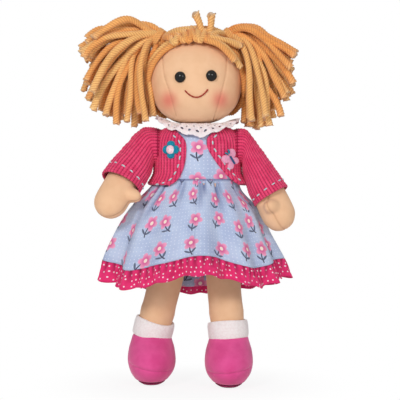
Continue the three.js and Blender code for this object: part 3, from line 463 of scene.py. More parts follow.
def ripple(points, size, seed):
    """Smooth unevenness about zero."""
    draw = np.random.default_rng(seed)
    total = np.zeros(points.shape[:-1])
    for _ in range(RIPPLE_WAVES):
        way = draw.normal(size=3)
        way *= 2 * math.pi / (size * draw.uniform(0.7, 1.4) * np.linalg.norm(way))
        total += np.cos(points @ way + draw.uniform(0, 6.28))
    return total / RIPPLE_WAVES

def gone_along(path):
    return np.concatenate([[0], np.cumsum(np.linalg.norm(np.diff(path, axis=0), axis=1))])

def even(path, step):
    path = np.asarray(path, float)
    gone = gone_along(path)
    at = np.linspace(0, gone[-1], max(int(gone[-1] / step), 3) + 1)
    return spread(at, gone, path), at

def spread(at, gone, line):
    return np.stack([np.interp(at, gone, line[:, k]) for k in range(3)], 1)

print("curve helpers are ready")

# %% [markdown]
# ## Skin cloth
# The skin is a brushed jersey: matt and warm, with a soft bloom at grazing angles. Rouge and seams could be
# a painted picture. Values painted on the points follow any form, so the finish reads two such layers: one
# for the rouge on the cheeks, and one for painted shade along the seams, where the cloth is pulled in.

# %% Skin finish
def waves(finish, where, scale, distortion, way="X"):
    sockets = {"Vector": where, "Scale": scale, "Distortion": distortion}
    return wire(finish, "TexWave", sockets, bands_direction=way).outputs[1]

skin = new_finish("skin jersey", 0.88, sheen=0.18, specular=0.18)
grain = on_object(skin)
colour = shaded(skin, noise(skin, grain, 95, 3), 0.3, 0.75, (240, 195, 156), (235, 188, 148))
colour = tint(skin, painted(skin, "blush"), colour, (222, 112, 98))
# Painted shade along the seams, where the cloth is pulled in.
give(skin, "Base Color", tint(skin, painted(skin, "crease_shade"), colour, (172, 116, 84)))
wales, fuzz = waves(skin, grain, 330, 0.6), noise(skin, grain, 1900)
bump(skin, calc(skin, "MULTIPLY_ADD", wales, 0.35, fuzz), 0.16, 0.0003)
print("skin finish is mixed in", len(skin.node_tree.nodes), "nodes")

# %% [markdown]
# ## Body and neck
# The body is a stuffed bag, hidden by the dress except from below. Its outline is the same smooth curve as
# the solid's, turned round and flattened front to back, and then made a little uneven. The neck is a stuffed
# ball on a short stub. A Spin or Screw modifier turns outlines too, but the clothes need this one as numbers.

# %% Body
GAP = 0.3
TORSO_WIDTH, TORSO_DEPTH = 77.0, 55.0
DEPTH_SHARE = TORSO_DEPTH / TORSO_WIDTH
TORSO_SHARES = [
    (0, 0.7), (0.06, 0.9), (0.18, 1), (0.34, 1), (0.49, 0.955), (0.66, 0.94),
    (0.8, 0.94), (0.9, 0.905), (0.96, 0.79), (0.992, 0.55), (1, 0.31),
]
(_, _, TORSO_FOOT), (_, _, TORSO_TOP) = box_of("torso")
torso_knots = [(w * TORSO_WIDTH / 2, TORSO_FOOT + h * (TORSO_TOP - TORSO_FOOT)) for h, w in TORSO_SHARES]
torso_line = spline(torso_knots, 481)
torso_slope = unit(np.gradient(torso_line, axis=0))

def rings(profile, columns, depth_share=1.0):
    """Turns a profile of radius and height round an upright axis."""
    turn = full_turn(columns)[None]
    r, z = profile[:, 0, None], profile[:, 1, None]
    return together(r * np.cos(turn), r * depth_share * np.sin(turn), z)

def plain_skin(grid):
    return {"blush": np.zeros(grid.shape[:2]), "crease_shade": np.zeros(grid.shape[:2])}

def skin_bag(name, grid, body, node, paint=None):
    bag = stuffed(name, grid, skin, paint or plain_skin(grid))
    settle(bag, body, "skin_cloth", node)

torso_grid = rings(torso_line[::6], 90, DEPTH_SHARE)
torso_grid += 0.35 * ripple(torso_grid, 26, 1)[..., None] * grid_normals(torso_grid, True)
torso_grid[:, :, :2] *= 0.995
skin_bag("torso_bag", torso_grid, "torso", "torso")

# %% Neck
neck_low, neck_high = box_of("neck")
PIVOT = pivots["neck_nod"]
NECK_BALL = neck_high[2] - PIVOT[2]
NECK_STUB = 8.0
ball_turn = np.linspace(math.pi - math.asin(NECK_STUB / NECK_BALL), 0.03, 30)
ball = np.stack([NECK_BALL * np.sin(ball_turn), PIVOT[2] + NECK_BALL * np.cos(ball_turn)], 1)
stub = np.array([[NECK_STUB, neck_low[2]], [NECK_STUB - 0.3, neck_low[2] + 1.2]])
skin_bag("neck_bag", rings(np.concatenate([stub, ball]), 60), "neck", "neck")

# %% [markdown]
# ## Head
# The head is three jersey panels over firm stuffing, a little fuller at the cheeks than an egg. It could be
# sculpted by hand; here a globe's points are pushed out to a formula, because hair and face need the form too.
# The cloth is pulled in along the face's two long seams, and each cheek has a soft spot of rouge.

# %% Head form
HEAD_HALF = np.array([42.5, 39.0, 41.0])
HEAD_TILT = math.radians(-2.5)
CHIN_LIFT = 5.4
HEAD_MIDDLE = np.array([0, 0, TORSO_TOP + CHIN_LIFT + HEAD_HALF[2]]) - PIVOT
tilt_turn = np.array([
    [math.cos(HEAD_TILT), 0, math.sin(HEAD_TILT)],
    [0, 1, 0],
    [-math.sin(HEAD_TILT), 0, math.cos(HEAD_TILT)],
])

def on_neck(points):
    """From the head's own upright frame to its tilted place on the neck."""
    return (np.asarray(points) + HEAD_MIDDLE) @ tilt_turn.T + PIVOT

def head_reach(ways):
    """How far the cloth is from the head's middle along unit directions."""
    power = 2.0 + 0.32 * smooth(-ways[..., 2], -0.1, 0.55)
    share = np.abs(ways / HEAD_HALF)
    return np.sum(share ** power[..., None], -1) ** (-1 / power)

def globe(low, high, rows, columns):
    latitude, longitude = np.linspace(low, high, rows)[:, None], full_turn(columns)[None]
    level = np.cos(latitude)
    return together(level * np.cos(longitude), level * np.sin(longitude), np.sin(latitude))

print("head is", 2 * HEAD_HALF, "mm wide, deep and high")

# %% Head
FACE_SEAMS = [
    [(-30.5, 27.0), (-29.5, 6.0), (-25.0, -11.0), (-20.0, -33.0)],
    [(30.5, 26.0), (28.0, 3.0), (20.0, -24.0), (14.5, -38.0)],
]
CHEEKS = [(-25.5, -18.6), (21.5, -20.2)]
CHEEK_SIZE = 7.6

def seam_distance(across, rise, seam):
    flat = together(across, rise)[..., None, :] - spline(seam, 60)
    return np.min(np.linalg.norm(flat, axis=-1), -1)

ways = globe(-0.498 * math.pi, 0.498 * math.pi, 190, 300)
face = ways * head_reach(ways)[..., None]
front = smooth(-face[..., 1], 2, 12)
seam_near = np.minimum(*[seam_distance(face[..., 0], face[..., 2], seam) for seam in FACE_SEAMS])
pull = front * (0.6 * bell(seam_near, 1.0) + 0.45 * bell(seam_near, 4.5))
face = face - ways * pull[..., None] + ways * (0.22 * ripple(face, 30, 3))[..., None]
rouge = np.zeros_like(pull)
for x, z in CHEEKS:
    gone = np.hypot(face[..., 0] - x, (face[..., 2] - z) * 0.95)
    rouge += 0.8 * np.exp(-((gone / CHEEK_SIZE) ** 2) ** 1.15)
# A thin line of painted shade follows each face seam.
face_paint = {"blush": rouge * front, "crease_shade": 0.4 * front * bell(seam_near, 0.5)}
skin_bag("head_bag", on_neck(face), "head", "head", face_paint)

# %% [markdown]
# ## Thread and yarn
# Mouth, stitches and hair are all the same thing at different sizes: a few plies twisted together. A curve
# with a round bevel would be smooth like wire. `twisted` carries a ring of points along each path instead,
# turning it as it goes, so the plies stand out as real ridges that wind round the strand.

# %% One twisted strand
PLY_POINTS = 3
PLY_GROOVE = 0.24
STRAND_SWELL = 0.05

def carried(path):
    """The way of a path and two directions across it, carried along without twist."""
    way = unit(np.gradient(path, axis=0))
    side = np.cross(way[0], (0.31, 0.9, 0.23))
    sides = np.empty_like(path)
    for i, ahead in enumerate(way):
        side = side - ahead * (side @ ahead)
        side = side / np.linalg.norm(side)
        sides[i] = side
    return way, sides, np.cross(way, sides)

def twisted(path, radius, plies, pitch, step, draw, fray, size_at):
    """One strand's points, its number of rows, flat places and paint."""
    line, gone = even(path, step)
    way, side, up = carried(line)
    sides = plies * PLY_POINTS
    turn = np.arange(sides) * 2 * math.pi / sides
    ridge = np.abs(np.cos(plies * turn / 2))
    to_end = gone[-1] - gone
    angle = turn[None] + (2 * math.pi * (gone / pitch + draw.uniform()))[:, None]
    size = radius * draw.uniform(0.92, 1.06) * (1 + STRAND_SWELL * np.sin(gone / 6 + draw.uniform(0, 6)))
    if size_at is not None:
        size = size * size_at(gone, gone[-1])
    size = size * (1 + fray * np.exp(-to_end / 3.5))
    reach = size[:, None] * (1 - PLY_GROOVE + PLY_GROOVE * ridge)[None]
    ring = side[:, None] * (reach * np.cos(angle))[..., None] + up[:, None] * (reach * np.sin(angle))[..., None]
    near_end = np.exp(-to_end / 1.6)[:, None] * fray
    ragged = np.repeat(draw.uniform(-1.5, 2.2, plies), PLY_POINTS)[None] + draw.uniform(-0.6, 0.6, (1, sides))
    grid = line[:, None] + ring + way[:, None] * (near_end * ragged * 4)[..., None]
    points = np.concatenate([grid.reshape(-1, 3), [line[0], line[-1] - way[-1] * 0.8 * fray]])
    flat = together(np.arange(sides + 1)[None] * 0.5, gone[:, None])
    flat = flat + draw.uniform(0, 400)
    paint = {
        "tone": np.full(len(points), draw.uniform()),
        # Painted shade between the plies.
        "groove_shade": np.concatenate([np.tile(1 - ridge, len(line)), [0, 0.4]]),
        "tip": np.concatenate([np.repeat(np.exp(-to_end / 2.5) * (fray > 0), sides), [0, fray > 0]]),
    }
    return points, len(line), flat, paint

print("a strand has", PLY_POINTS, "points on each ply")

# %% Strands as one piece
def spun(name, paths, radius, finish, plies=4, pitch=10.0, step=0.9, seed=1, fray=0.0, size_at=None):
    draw = np.random.default_rng(seed)
    sides = plies * PLY_POINTS
    points, quads, fans, quad_uv, fan_uv, paints = [], [], [], [], [], []
    first = 0
    for path in paths:
        strand, rows, flat, paint = twisted(path, radius, plies, pitch, step, draw, fray, size_at)
        points.append(strand)
        quads.append(grid_faces(rows, sides, True, first))
        fans.append(end_fans(rows, sides, first))
        quad_uv.append(grid_uv(flat))
        fan_uv.append(np.repeat(flat[0, :1], sides * 6, 0))
        paints.append(paint)
        first += len(strand)
    faces, uv = ([np.concatenate(part) for part in pair] for pair in ((quads, fans), (quad_uv, fan_uv)))
    paint = {key: np.concatenate([each[key] for each in paints]) for key in paints[0]}
    return make_piece(name, np.concatenate(points), faces, finish, uv, paint)

def thread_finish(name, colour, dark):
    finish = new_finish(name, 0.75, sheen=0.15, specular=0.25)
    fibre = noise(finish, on_object(finish), 1400)
    # Painted shade between the plies.
    furrow_shade = calc(finish, "MULTIPLY", painted(finish, "groove_shade"), 0.75)
    texture_and_shade = calc(finish, "MULTIPLY_ADD", fibre, 0.35, furrow_shade)
    give(finish, "Base Color", shaded(finish, texture_and_shade, 0.1, 0.95, colour, dark))
    bump(finish, fibre, 0.3, 0.0002)
    return finish

print("thread helper is ready")

# %% [markdown]
# ## Eyes
# The eyes are domed black plastic buttons with a short stem through the cloth and a washer behind it. A
# profile is turned round, then stood on the face along the cloth's own normal. A ball pushed into the head
# would do from in front, but would show no edge on the cloth. The washers keep their solid shape.

# %% Eyes
EYE_RADIUS, EYE_DOME, EYE_SPREAD, EYE_RISE = 5.1, 4.0, 28.0, 1.6
EYE_STEM, EYE_STEM_LONG = 1.6, 8.0

def on_face(across, rise, lift=0.0):
    """A place on the head's cloth seen from in front, lifted off it."""
    across, rise = np.broadcast_arrays(np.asarray(across, float), np.asarray(rise, float))
    depth = np.full(across.shape, -HEAD_HALF[1])
    for _ in range(12):
        want = head_reach(unit(together(across, depth, rise))) + lift
        depth = -np.sqrt(np.maximum(want ** 2 - across ** 2 - rise ** 2, 1.0))
    return together(across, depth, rise)

def stood_on(points, foot, normal):
    """Points drawn about +Z, turned to a normal and set down on a foot."""
    turn = np.array(Vector((0, 0, 1)).rotation_difference(Vector(normal)).to_matrix())
    return points @ turn.T + foot

def moulded_finish(name, scale, under, over, polished, dull):
    finish = new_finish(name, polished)
    swirl = noise(finish, on_object(finish), scale, 3)
    give(finish, "Base Color", tint(finish, swirl, under, over))
    give(finish, "Roughness", ramp(finish, swirl, 0.3, 0.7, polished, dull))
    return finish

eye_gloss = moulded_finish("eye plastic", 300, (4, 4, 4), (9, 9, 9), 0.05, 0.09)
washer_white = moulded_finish("washer plastic", 420, (232, 230, 224), (214, 210, 200), 0.32, 0.5)
dome_turn = np.linspace(0.0, 0.5 * math.pi - 0.02, 16)
eye_line = np.concatenate([
    [[EYE_STEM, GAP - EYE_STEM_LONG], [EYE_STEM, GAP - 0.4]],
    [[EYE_RADIUS - 0.5, GAP - 0.3], [EYE_RADIUS, GAP + 0.1]],
    np.stack([EYE_RADIUS * np.cos(dome_turn), GAP + 0.4 + (EYE_DOME - 0.4) * np.sin(dome_turn)], 1),
])
for side, sign in SIDES.items():
    spot = on_face(sign * EYE_SPREAD / 2, EYE_RISE)
    button = stood_on(rings(eye_line, 48), spot, unit(spot / HEAD_HALF ** 2))
    eye = stuffed(side + "_eye_button", on_neck(button), eye_gloss)
    settle(eye, "head", "eye_plastic", side + "_eye")
    washer = bpy.data.objects[side + "_eye_washer"]
    washer.data.materials.clear()
    washer.data.materials.append(washer_white)

# %% [markdown]
# ## Mouth
# The mouth is one line of thick thread in back stitch. It could be a line painted on the skin, but real
# thread stands up from the cloth and catches the light, and it swells a little with every stitch.

# %% Mouth
MOUTH_WIDTH, MOUTH_CURVE, MOUTH_DROP, MOUTH_THREAD, MOUTH_STITCHES = 21.0, 6.7, 10.6, 0.75, 7

def stitch_swell(gone, length):
    return 0.72 + 0.28 * np.abs(np.sin(math.pi * gone / (length / MOUTH_STITCHES))) ** 0.6

mouth_thread = thread_finish("mouth thread", (184, 62, 46), (120, 32, 24))
across = np.linspace(-MOUTH_WIDTH / 2, MOUTH_WIDTH / 2, 60)
mouth_rise = -MOUTH_DROP - MOUTH_CURVE * (1 - (2 * across / MOUTH_WIDTH) ** 2)
mouth_path = on_neck(on_face(across, mouth_rise, GAP + 0.35))
mouth = spun("mouth_line", [mouth_path], MOUTH_THREAD, mouth_thread, 3, 4.0, 0.25, 5, size_at=stitch_swell)
settle(mouth, "head", "mouth_thread", "mouth_stitch")

# %% [markdown]
# ## Legs
# Each leg is a sewn tube from a ball at the hip to a rounded end inside the shoe. A skin over a chain of
# points could make it. Rings of points along the leg's line are just as short, and give the tapering and the
# swelling above the cuff's grip by number.

# %% Legs
HIP_BALL, THIGH, ANKLE, FOOT_DEPTH, SHOE_HEIGHT = 16.4, 15.8, 15.0, 18.0, 45.0
ANKLES = {"left": np.array([29.0, -8.0, SHOE_HEIGHT]), "right": np.array([-43.0, 8.0, SHOE_HEIGHT])}
CUFF_SWELL, SWELL_ABOVE_FOOT = 0.7, 23.0

def limb_rings(path, way, sizes, columns, flatness=1.0):
    """Rings across a path, wide from side to side and flattened front to back."""
    across = unit(np.cross(np.broadcast_to((0.0, 1.0, 0.0), way.shape), way))
    deep = np.cross(way, across)
    turn = full_turn(columns)
    wide = sizes[:, None, None] * (across[:, None] * np.cos(turn)[None, :, None])
    return path[:, None] + wide + flatness * sizes[:, None, None] * (deep[:, None] * np.sin(turn)[None, :, None])

leg_ways = {}
for side in SIDES:
    hip = pivots[side + "_hip"]
    down = unit(ANKLES[side] - hip)
    top = hip - down * HIP_BALL
    length = np.linalg.norm(ANKLES[side] - top) + FOOT_DEPTH
    ball_turn = np.linspace(0.04, 0.5 * math.pi, 14)[:-1]
    ball_part = np.stack([HIP_BALL * (1 - np.cos(ball_turn)), HIP_BALL * np.sin(ball_turn)], 1)
    stations = [
        (HIP_BALL, HIP_BALL), (length * 0.42, THIGH), (length - FOOT_DEPTH, ANKLE),
        (length - FOOT_DEPTH * 0.42, ANKLE * 0.9), (length - FOOT_DEPTH * 0.1, ANKLE * 0.55), (length, 1),
    ]
    gone, size = np.concatenate([ball_part, spline(stations, 70)]).T
    size = size + CUFF_SWELL * bell(gone - (length - FOOT_DEPTH - SWELL_ABOVE_FOOT), 5)
    path = top + gone[:, None] * down
    leg_grid = limb_rings(path, np.broadcast_to(down, path.shape), size, 72)
    leg_grid += (0.3 * ripple(leg_grid, 24, 11))[..., None] * grid_normals(leg_grid, True)
    skin_bag(side + "_leg_bag", leg_grid, side + "_leg", side + "_leg")
    leg_ways[side] = down

# %% [markdown]
# ## Shoe finishes
# The shoes are soft pink cloth in a plain weave, seen as fine crossing threads over soft patches of two
# tones, with painted shade in the seams. Two wave textures at right angles give the threads; a picture of
# cloth would show where it repeats. The soles are felted cloth in a deeper pink.

# %% Shoe finishes
shoe_cloth = new_finish("shoe cloth", 0.85, sheen=0.35, specular=0.2)
weave_at = on_object(shoe_cloth)
warp, weft = (waves(shoe_cloth, weave_at, 420, 0.8, way) for way in "XZ")
threads = calc(shoe_cloth, "MULTIPLY", warp, weft)
colour = shaded(shoe_cloth, noise(shoe_cloth, weave_at, 60, 4), 0.3, 0.7, (238, 88, 157), (224, 70, 140))
# Painted shade in the seams.
colour = tint(shoe_cloth, painted(shoe_cloth, "crease_shade"), colour, (158, 38, 96))
colour = tint(shoe_cloth, calc(shoe_cloth, "MULTIPLY", threads, 0.22), colour, (236, 128, 180))
give(shoe_cloth, "Base Color", colour)
bump(shoe_cloth, calc(shoe_cloth, "ADD", threads, noise(shoe_cloth, weave_at, 1500)), 0.3, 0.0003)
sole_felt = matted_finish("sole cloth", (205, 66, 130), (170, 46, 104), 0.2, 700, 4, 0.5, 0.0004)
print("shoe finishes are mixed")

# %% [markdown]
# ## Shoes
# A shoe is full at the toe, gathered in at the ankle, with a seam over the toe and a flat sole. Its plan at
# rising levels is known, so a smooth curve is run through those levels and turned into rings. Cloth over
# stuffing is pulled in where it is sewn, so the points near a seam go inwards and get painted shade.

# %% Shoe form
SHOE_HALF, SHOE_TOE, SHOE_HEEL, SHOE_TOP = 22.5, 38.0, 19.5, 18.0
SOLE_THICKNESS = 2.4
# height, half width, toe and heel, each as a share of its largest
SHOE_LEVELS = [
    (0, 0.4, 0.4, 0.62), (0.05, 0.55, 0.58, 0.74), (0.13, 0.72, 0.77, 0.86), (0.28, 0.91, 0.95, 0.96),
    (0.49, 1, 1, 1), (0.71, 0.96, 0.86, 0.98), (0.89, 0.86, 0.62, 0.96),
]
# height and radius of the rim that turns over into the ankle
SHOE_LIP = [(46.2, 17.2), (46.0, 16.2), (43.0, 15.4)]
shoe_sizes = np.array([SHOE_HEIGHT, SHOE_HALF, SHOE_TOE, SHOE_HEEL])
shoe_knots = [tuple(np.array(level) * shoe_sizes) for level in SHOE_LEVELS] + [(SHOE_HEIGHT, *[SHOE_TOP] * 3)]
shoe_lines = spline(shoe_knots, 150)
shoe_turn = full_turn(168)

def shoe_rings(levels):
    c, s = np.cos(shoe_turn)[None], np.sin(shoe_turn)[None]
    long = np.where(s < 0, levels[:, 2, None], levels[:, 3, None])
    return together(levels[:, 1, None] * c, long * s, levels[:, 0, None])

print("shoe is", 2 * SHOE_HALF, "by", SHOE_TOE + SHOE_HEEL, "mm in plan")

# %% Shoes
TOE_SEAM_HEIGHT, TOE_SEAM_SLOPES = 16.0, {"left": 0.1, "right": -0.16}
SHOE_SEEDS = {"left": 25, "right": 26}
upper = np.concatenate([
    shoe_lines[shoe_lines[:, 0] >= SOLE_THICKNESS + GAP],
    [(height, radius, radius, radius) for height, radius in SHOE_LIP],
])
under = shoe_lines[shoe_lines[:, 0] < SOLE_THICKNESS]
sole_levels = np.concatenate([under[:1] * (1, 0.5, 0.5, 0.5), under, [[SOLE_THICKNESS, *under[-1, 1:]]]])
for side in SIDES:
    foot = ANKLES[side] * (1, 1, 0)
    grid = shoe_rings(upper)
    x, y, z = np.moveaxis(grid, -1, 0)
    toe_seam = z - (TOE_SEAM_HEIGHT + TOE_SEAM_SLOPES[side] * x + 1.5 * (x / SHOE_HALF) ** 2)
    on_toe = smooth(-y, 9, 20)
    sole_seam = z - (SOLE_THICKNESS + GAP)
    pull = on_toe * (0.55 * bell(toe_seam, 0.9) + 0.35 * bell(toe_seam, 3.0)) + 0.8 * bell(sole_seam, 1.6)
    # Painted shade along the toe seam and the sole seam.
    crease_shade = 0.22 * on_toe * bell(toe_seam, 0.55) + 0.5 * bell(sole_seam, 0.8)
    outward = outward_normals(grid, True, grid.mean((0, 1)))
    grid = grid + outward * (0.4 * ripple(grid, 20, SHOE_SEEDS[side]) - pull)[..., None]
    shoe = stuffed(side + "_shoe_upper", grid + foot, shoe_cloth, {"crease_shade": crease_shade})
    settle(shoe, side + "_leg", "shoe_cloth", side + "_shoe")
    sole = stuffed(side + "_sole_pad", shoe_rings(sole_levels) + foot, sole_felt)
    settle(sole, side + "_leg", "sole_cloth", side + "_shoe_sole")

# %% [markdown]
# ## Sock cuffs
# A white fleece sock is folded down into a fat cuff on top of each shoe. A torus would be too round and too
# even, so a squared section is carried round the ankle, tilted with the leg, with lumps the size of fleece
# loops on its outside.

# %% Sock cuffs
CUFF_RADIUS, CUFF_HEIGHT, CUFF_WAVE = 17.9, 15.0, 0.6
CUFF_PHASES = {"left": 4, "right": 5}
fleece = matted_finish("sock fleece", (243, 232, 231), (249, 242, 241), 0.6, 520, 3, 0.4, 0.0005, high=0.65)

def hoop(name, grid, finish):
    rows, columns = grid.shape[:2]
    wrapped = np.concatenate([grid, grid[:1]])
    faces = grid_faces(rows + 1, columns, True) % (rows * columns)
    if turned_in(grid, grid_normals(wrapped, True)[:-1], grid.mean(0, keepdims=True)):
        faces = faces[:, ::-1]
    return make_piece(name, grid, [faces], finish)

def squared(v):
    return np.sign(v) * np.abs(v) ** 0.5

section_turn, turn = full_turn(56), full_turn(150)[None]
outside = np.cos(section_turn) > 0
half_thick = (CUFF_RADIUS - ANKLE + 0.6) / 2
out = ANKLE + half_thick + half_thick * squared(np.cos(section_turn))
rise = CUFF_HEIGHT / 2 - 0.6 + (CUFF_HEIGHT / 2 + 0.9) * squared(np.sin(section_turn))
out = (out + 0.4 * bell(rise - CUFF_HEIGHT * 0.55, 7) * outside)[:, None]
rise = rise[:, None]
for side in SIDES:
    wave = CUFF_WAVE * np.cos(2 * turn + CUFF_PHASES[side]) * (rise / CUFF_HEIGHT)
    ring = together(out * np.cos(turn), out * np.sin(turn), rise + wave)
    lumps = 0.14 * ripple(ring, 3.2, 31) + 0.35 * ripple(ring, 10, 32)
    lumps = (lumps[..., None] * unit(ring * (1, 1, 0))) * outside[:, None, None]
    cuff = hoop(side + "_cuff_fold", stood_on(ring, ANKLES[side], -leg_ways[side]) + lumps, fleece)
    settle(cuff, side + "_leg", "sock_fleece", side + "_sock_cuff")

# %% [markdown]
# ## The lines of arms and sleeves
# An arm hangs from its shoulder seam, first straight out and then down, and a sleeve follows it loosely. The
# arm's line could be one straight piece, but then the sleeve would stand off at the bend. Each sleeve is
# given by its outer and its inner line, as they are seen from in front, in the arm's own leaning frame.

# %% Arm and sleeve lines
ARM_LENGTHS = {"left": 100.0, "right": 97.0}
SHOULDER_BEND = 16.6
# sign, degrees out and forward; then the thumb: degrees forward, lift and place up the hand
ARM_POSES = {"left": (1, 19.5, 12, 62, 0.05, 0.65), "right": (-1, 23.5, 30, 12, 0.0, 0.85)}
# each sleeve's outer and inner line: out from the shoulder, and up
SLEEVE_OUTER = {
    "left": [(0.3, 16.6), (9.5, 14.8), (19.5, 1.5), (28, -10.8), (36, -22.3), (42, -31), (47, -38.5)],
    "right": [
        (0.3, 16.6), (7.5, 18), (15, 17.8), (22.5, 10.8), (31, -0.5), (39.5, -12.2), (46.5, -22), (51.5, -31),
    ],
}
SLEEVE_INNER = {
    "left": [(0.3, -16.6), (5.2, -17.0), (5.8, -26), (8.6, -35), (11.4, -44), (14.4, -51), (17.4, -56)],
    "right": [
        (0.3, -16.6), (4.4, -17.2), (5.2, -21), (6.4, -26.5), (8.6, -32), (11.4, -38), (14.2, -43), (16.8, -47.8),
    ],
}
SLEEVE_POINTS = 60

def bent_path(sign, along, length, steps):
    """Straight out from the shoulder seam, then down along the arm."""
    start = np.array([sign * GAP, 0, 0])
    corner = start + (sign * SHOULDER_BEND, 0, 0)
    t = np.linspace(0, 1, steps)[:, None]
    bend = (1 - t) ** 2 * start + 2 * t * (1 - t) * corner + t ** 2 * (corner + along * SHOULDER_BEND)
    return np.concatenate([bend, [corner + along * (length - SHOULDER_BEND)]]), corner

def sleeve_edges(side, sign):
    lines = (spline(edges[side], SLEEVE_POINTS) for edges in (SLEEVE_OUTER, SLEEVE_INNER))
    return [np.stack([sign * line[:, 0], 0 * line[:, 0], line[:, 1]], 1) for line in lines]

def leaning(degrees):
    c, s = math.cos(math.radians(degrees)), math.sin(math.radians(degrees))
    return np.array([[1, 0, 0], [0, c, s], [0, -s, c]])

arm_frames = {side: (pivots[side + "_shoulder"], leaning(pose[2])) for side, pose in ARM_POSES.items()}
print("arms are", ARM_LENGTHS, "mm long")

# %% [markdown]
# ## Arms
# An arm is a flattened tube that ends in a mitten, and its thumb is a second small tube. Both are stuffed as
# one, so the two closed forms are melted together with a voxel remesh and smoothed; a Boolean would leave a
# hard line at the thumb. The side seam comes after that, because a remesh would swallow it.

# %% Mitten and thumb
ARM_RADIUS, HAND_RADIUS, HAND_LENGTH, HAND_FLATNESS = 13.8, 15.8, 34.0, 0.8
THUMB_RADIUS, THUMB_REACH = 8.0, 27.0
# the arm is slimmer inside the sleeve's bend: distance gone, and the most that its radius may be
SLIM_AT, SLIM_TO = [0, 7, 14, 22, 30, 42, 52], [13, 9, 8, 9.5, 11.5, 13.6, 16]

def limb(path, sizes, columns, flatness=1.0):
    return limb_rings(path, unit(np.gradient(path, axis=0)), sizes, columns, flatness)

def mitten_rings(route):
    path, gone = even(route, 0.8)
    length, wrist = gone[-1], gone[-1] - HAND_LENGTH
    stations = [
        (0, ARM_RADIUS), (wrist * 0.5, ARM_RADIUS), (wrist, ARM_RADIUS + 0.7 * (HAND_RADIUS - ARM_RADIUS)),
        (wrist + HAND_LENGTH * 0.42, HAND_RADIUS), (wrist + HAND_LENGTH * 0.68, HAND_RADIUS * 0.92),
        (wrist + HAND_LENGTH * 0.9, HAND_RADIUS * 0.58), (length, 1),
    ]
    swell = spline(stations, 400)
    size = np.interp(gone, swell[:, 0], np.maximum(swell[:, 1], 0.5))
    return limb(path, np.minimum(size, np.interp(gone, SLIM_AT, SLIM_TO)), 64, HAND_FLATNESS)

def thumb_rings(palm, tip):
    share = np.linspace(0, 1, 36)
    size = THUMB_RADIUS * np.interp(share, [0, 0.5, 0.75, 0.92, 1], [1, 0.95, 0.78, 0.5, 0.06])
    return limb(palm + share[:, None] * (tip - palm), size, 40)

print("mitten", HAND_LENGTH, "mm, thumb", THUMB_REACH, "mm")

# %% Melting and sewing
VOXEL, SMOOTHING = 0.0009, {"iterations": 14, "factor": 0.5}

def closed_tubes(grids):
    quads, lids, first = [], [], 0
    for grid in grids:
        rows, columns = grid.shape[:2]
        flip = turned_in(grid, grid_normals(grid, True), grid.mean((0, 1)))
        quads.append(grid_faces(rows, columns, True, first, flip))
        for row, turned in ((0, not flip), (rows - 1, flip)):
            lid = first + row * columns + np.arange(columns)
            fan = np.stack([np.full(columns, lid[0]), lid, np.roll(lid, -1)], 1)[1:-1]
            lids.append(fan[:, ::-1] if turned else fan)
        first += rows * columns
    return np.concatenate([grid.reshape(-1, 3) for grid in grids]), quads + lids

def melt(piece):
    for kind, settings in (("REMESH", {"mode": "VOXEL", "voxel_size": VOXEL}), ("SMOOTH", SMOOTHING)):
        modifier = piece.modifiers.new(kind.lower(), kind)
        for key, value in settings.items():
            setattr(modifier, key, value)
    melted = bpy.data.meshes.new_from_object(piece.evaluated_get(bpy.context.evaluated_depsgraph_get()))
    piece.modifiers.clear()
    piece.data = melted
    melted.polygons.foreach_set("use_smooth", np.ones(len(melted.polygons), bool))
    if not melted.materials:
        melted.materials.append(skin)

def point_values(mesh, key):
    values = np.empty(len(mesh.vertices) * 3, np.float32)
    mesh.vertices.foreach_get(key, values)
    return values.reshape(-1, 3)

def sew_round(mesh, frame_of_arm, palm, seam_normal, elbow, along):
    shoulder, turn = frame_of_arm
    local = ((point_values(mesh, "co") / MM - MIDDLE) - shoulder) @ turn
    facing = point_values(mesh, "normal") @ turn
    off_plane = (local - palm) @ seam_normal
    past_elbow = smooth((local - elbow) @ along, 5, 14)
    pull = past_elbow * (0.5 * bell(off_plane, 0.9) + 0.3 * bell(off_plane, 3))
    local = local + facing * (0.3 * ripple(local, 16, 41) - pull)[:, None]
    spots = ((local @ turn.T + shoulder) + MIDDLE) * MM
    mesh.vertices.foreach_set("co", spots.astype(np.float32).ravel())
    # Painted shade along the arm's side seam.
    paint_on(mesh, "crease_shade", 0.42 * past_elbow * bell(off_plane, 0.7))
    paint_on(mesh, "blush", np.zeros(len(local)))

print("arms are melted at", VOXEL / MM, "mm")

# %% Arms
for side, (sign, out, _, thumb_turn, thumb_lift, thumb_rise) in ARM_POSES.items():
    out, thumb_turn = math.radians(out), math.radians(thumb_turn)
    shoulder, turn = arm_frames[side]
    along = np.array([sign * math.sin(out), 0, -math.cos(out)])
    route, elbow = bent_path(sign, along, ARM_LENGTHS[side], 40)
    if side == "left":
        upper_arm = sum(sleeve_edges(side, sign)) / 2
        route = spline([*upper_arm[:50:7], route[-1]], 120)
    palm = elbow + along * (ARM_LENGTHS[side] - SHOULDER_BEND - HAND_LENGTH * thumb_rise)
    inward = np.array([-sign * math.cos(out), 0, -math.sin(out)])
    thumb_way = inward * math.cos(thumb_turn) + np.array([0, -math.sin(thumb_turn), 0])
    reach = THUMB_REACH * (1 + (HAND_FLATNESS - 1) * math.sin(thumb_turn))
    thumb_tip = palm + thumb_way * reach - along * HAND_LENGTH * thumb_lift
    points, faces = closed_tubes([mitten_rings(route), thumb_rings(palm, thumb_tip)])
    arm = make_piece(side + "_arm_bag", points @ turn.T + shoulder, faces, skin)
    melt(arm)
    sew_round(arm.data, arm_frames[side], palm, np.cross(along, thumb_way), elbow, along)
    settle(arm, side + "_arm", "skin_cloth", side + "_arm")

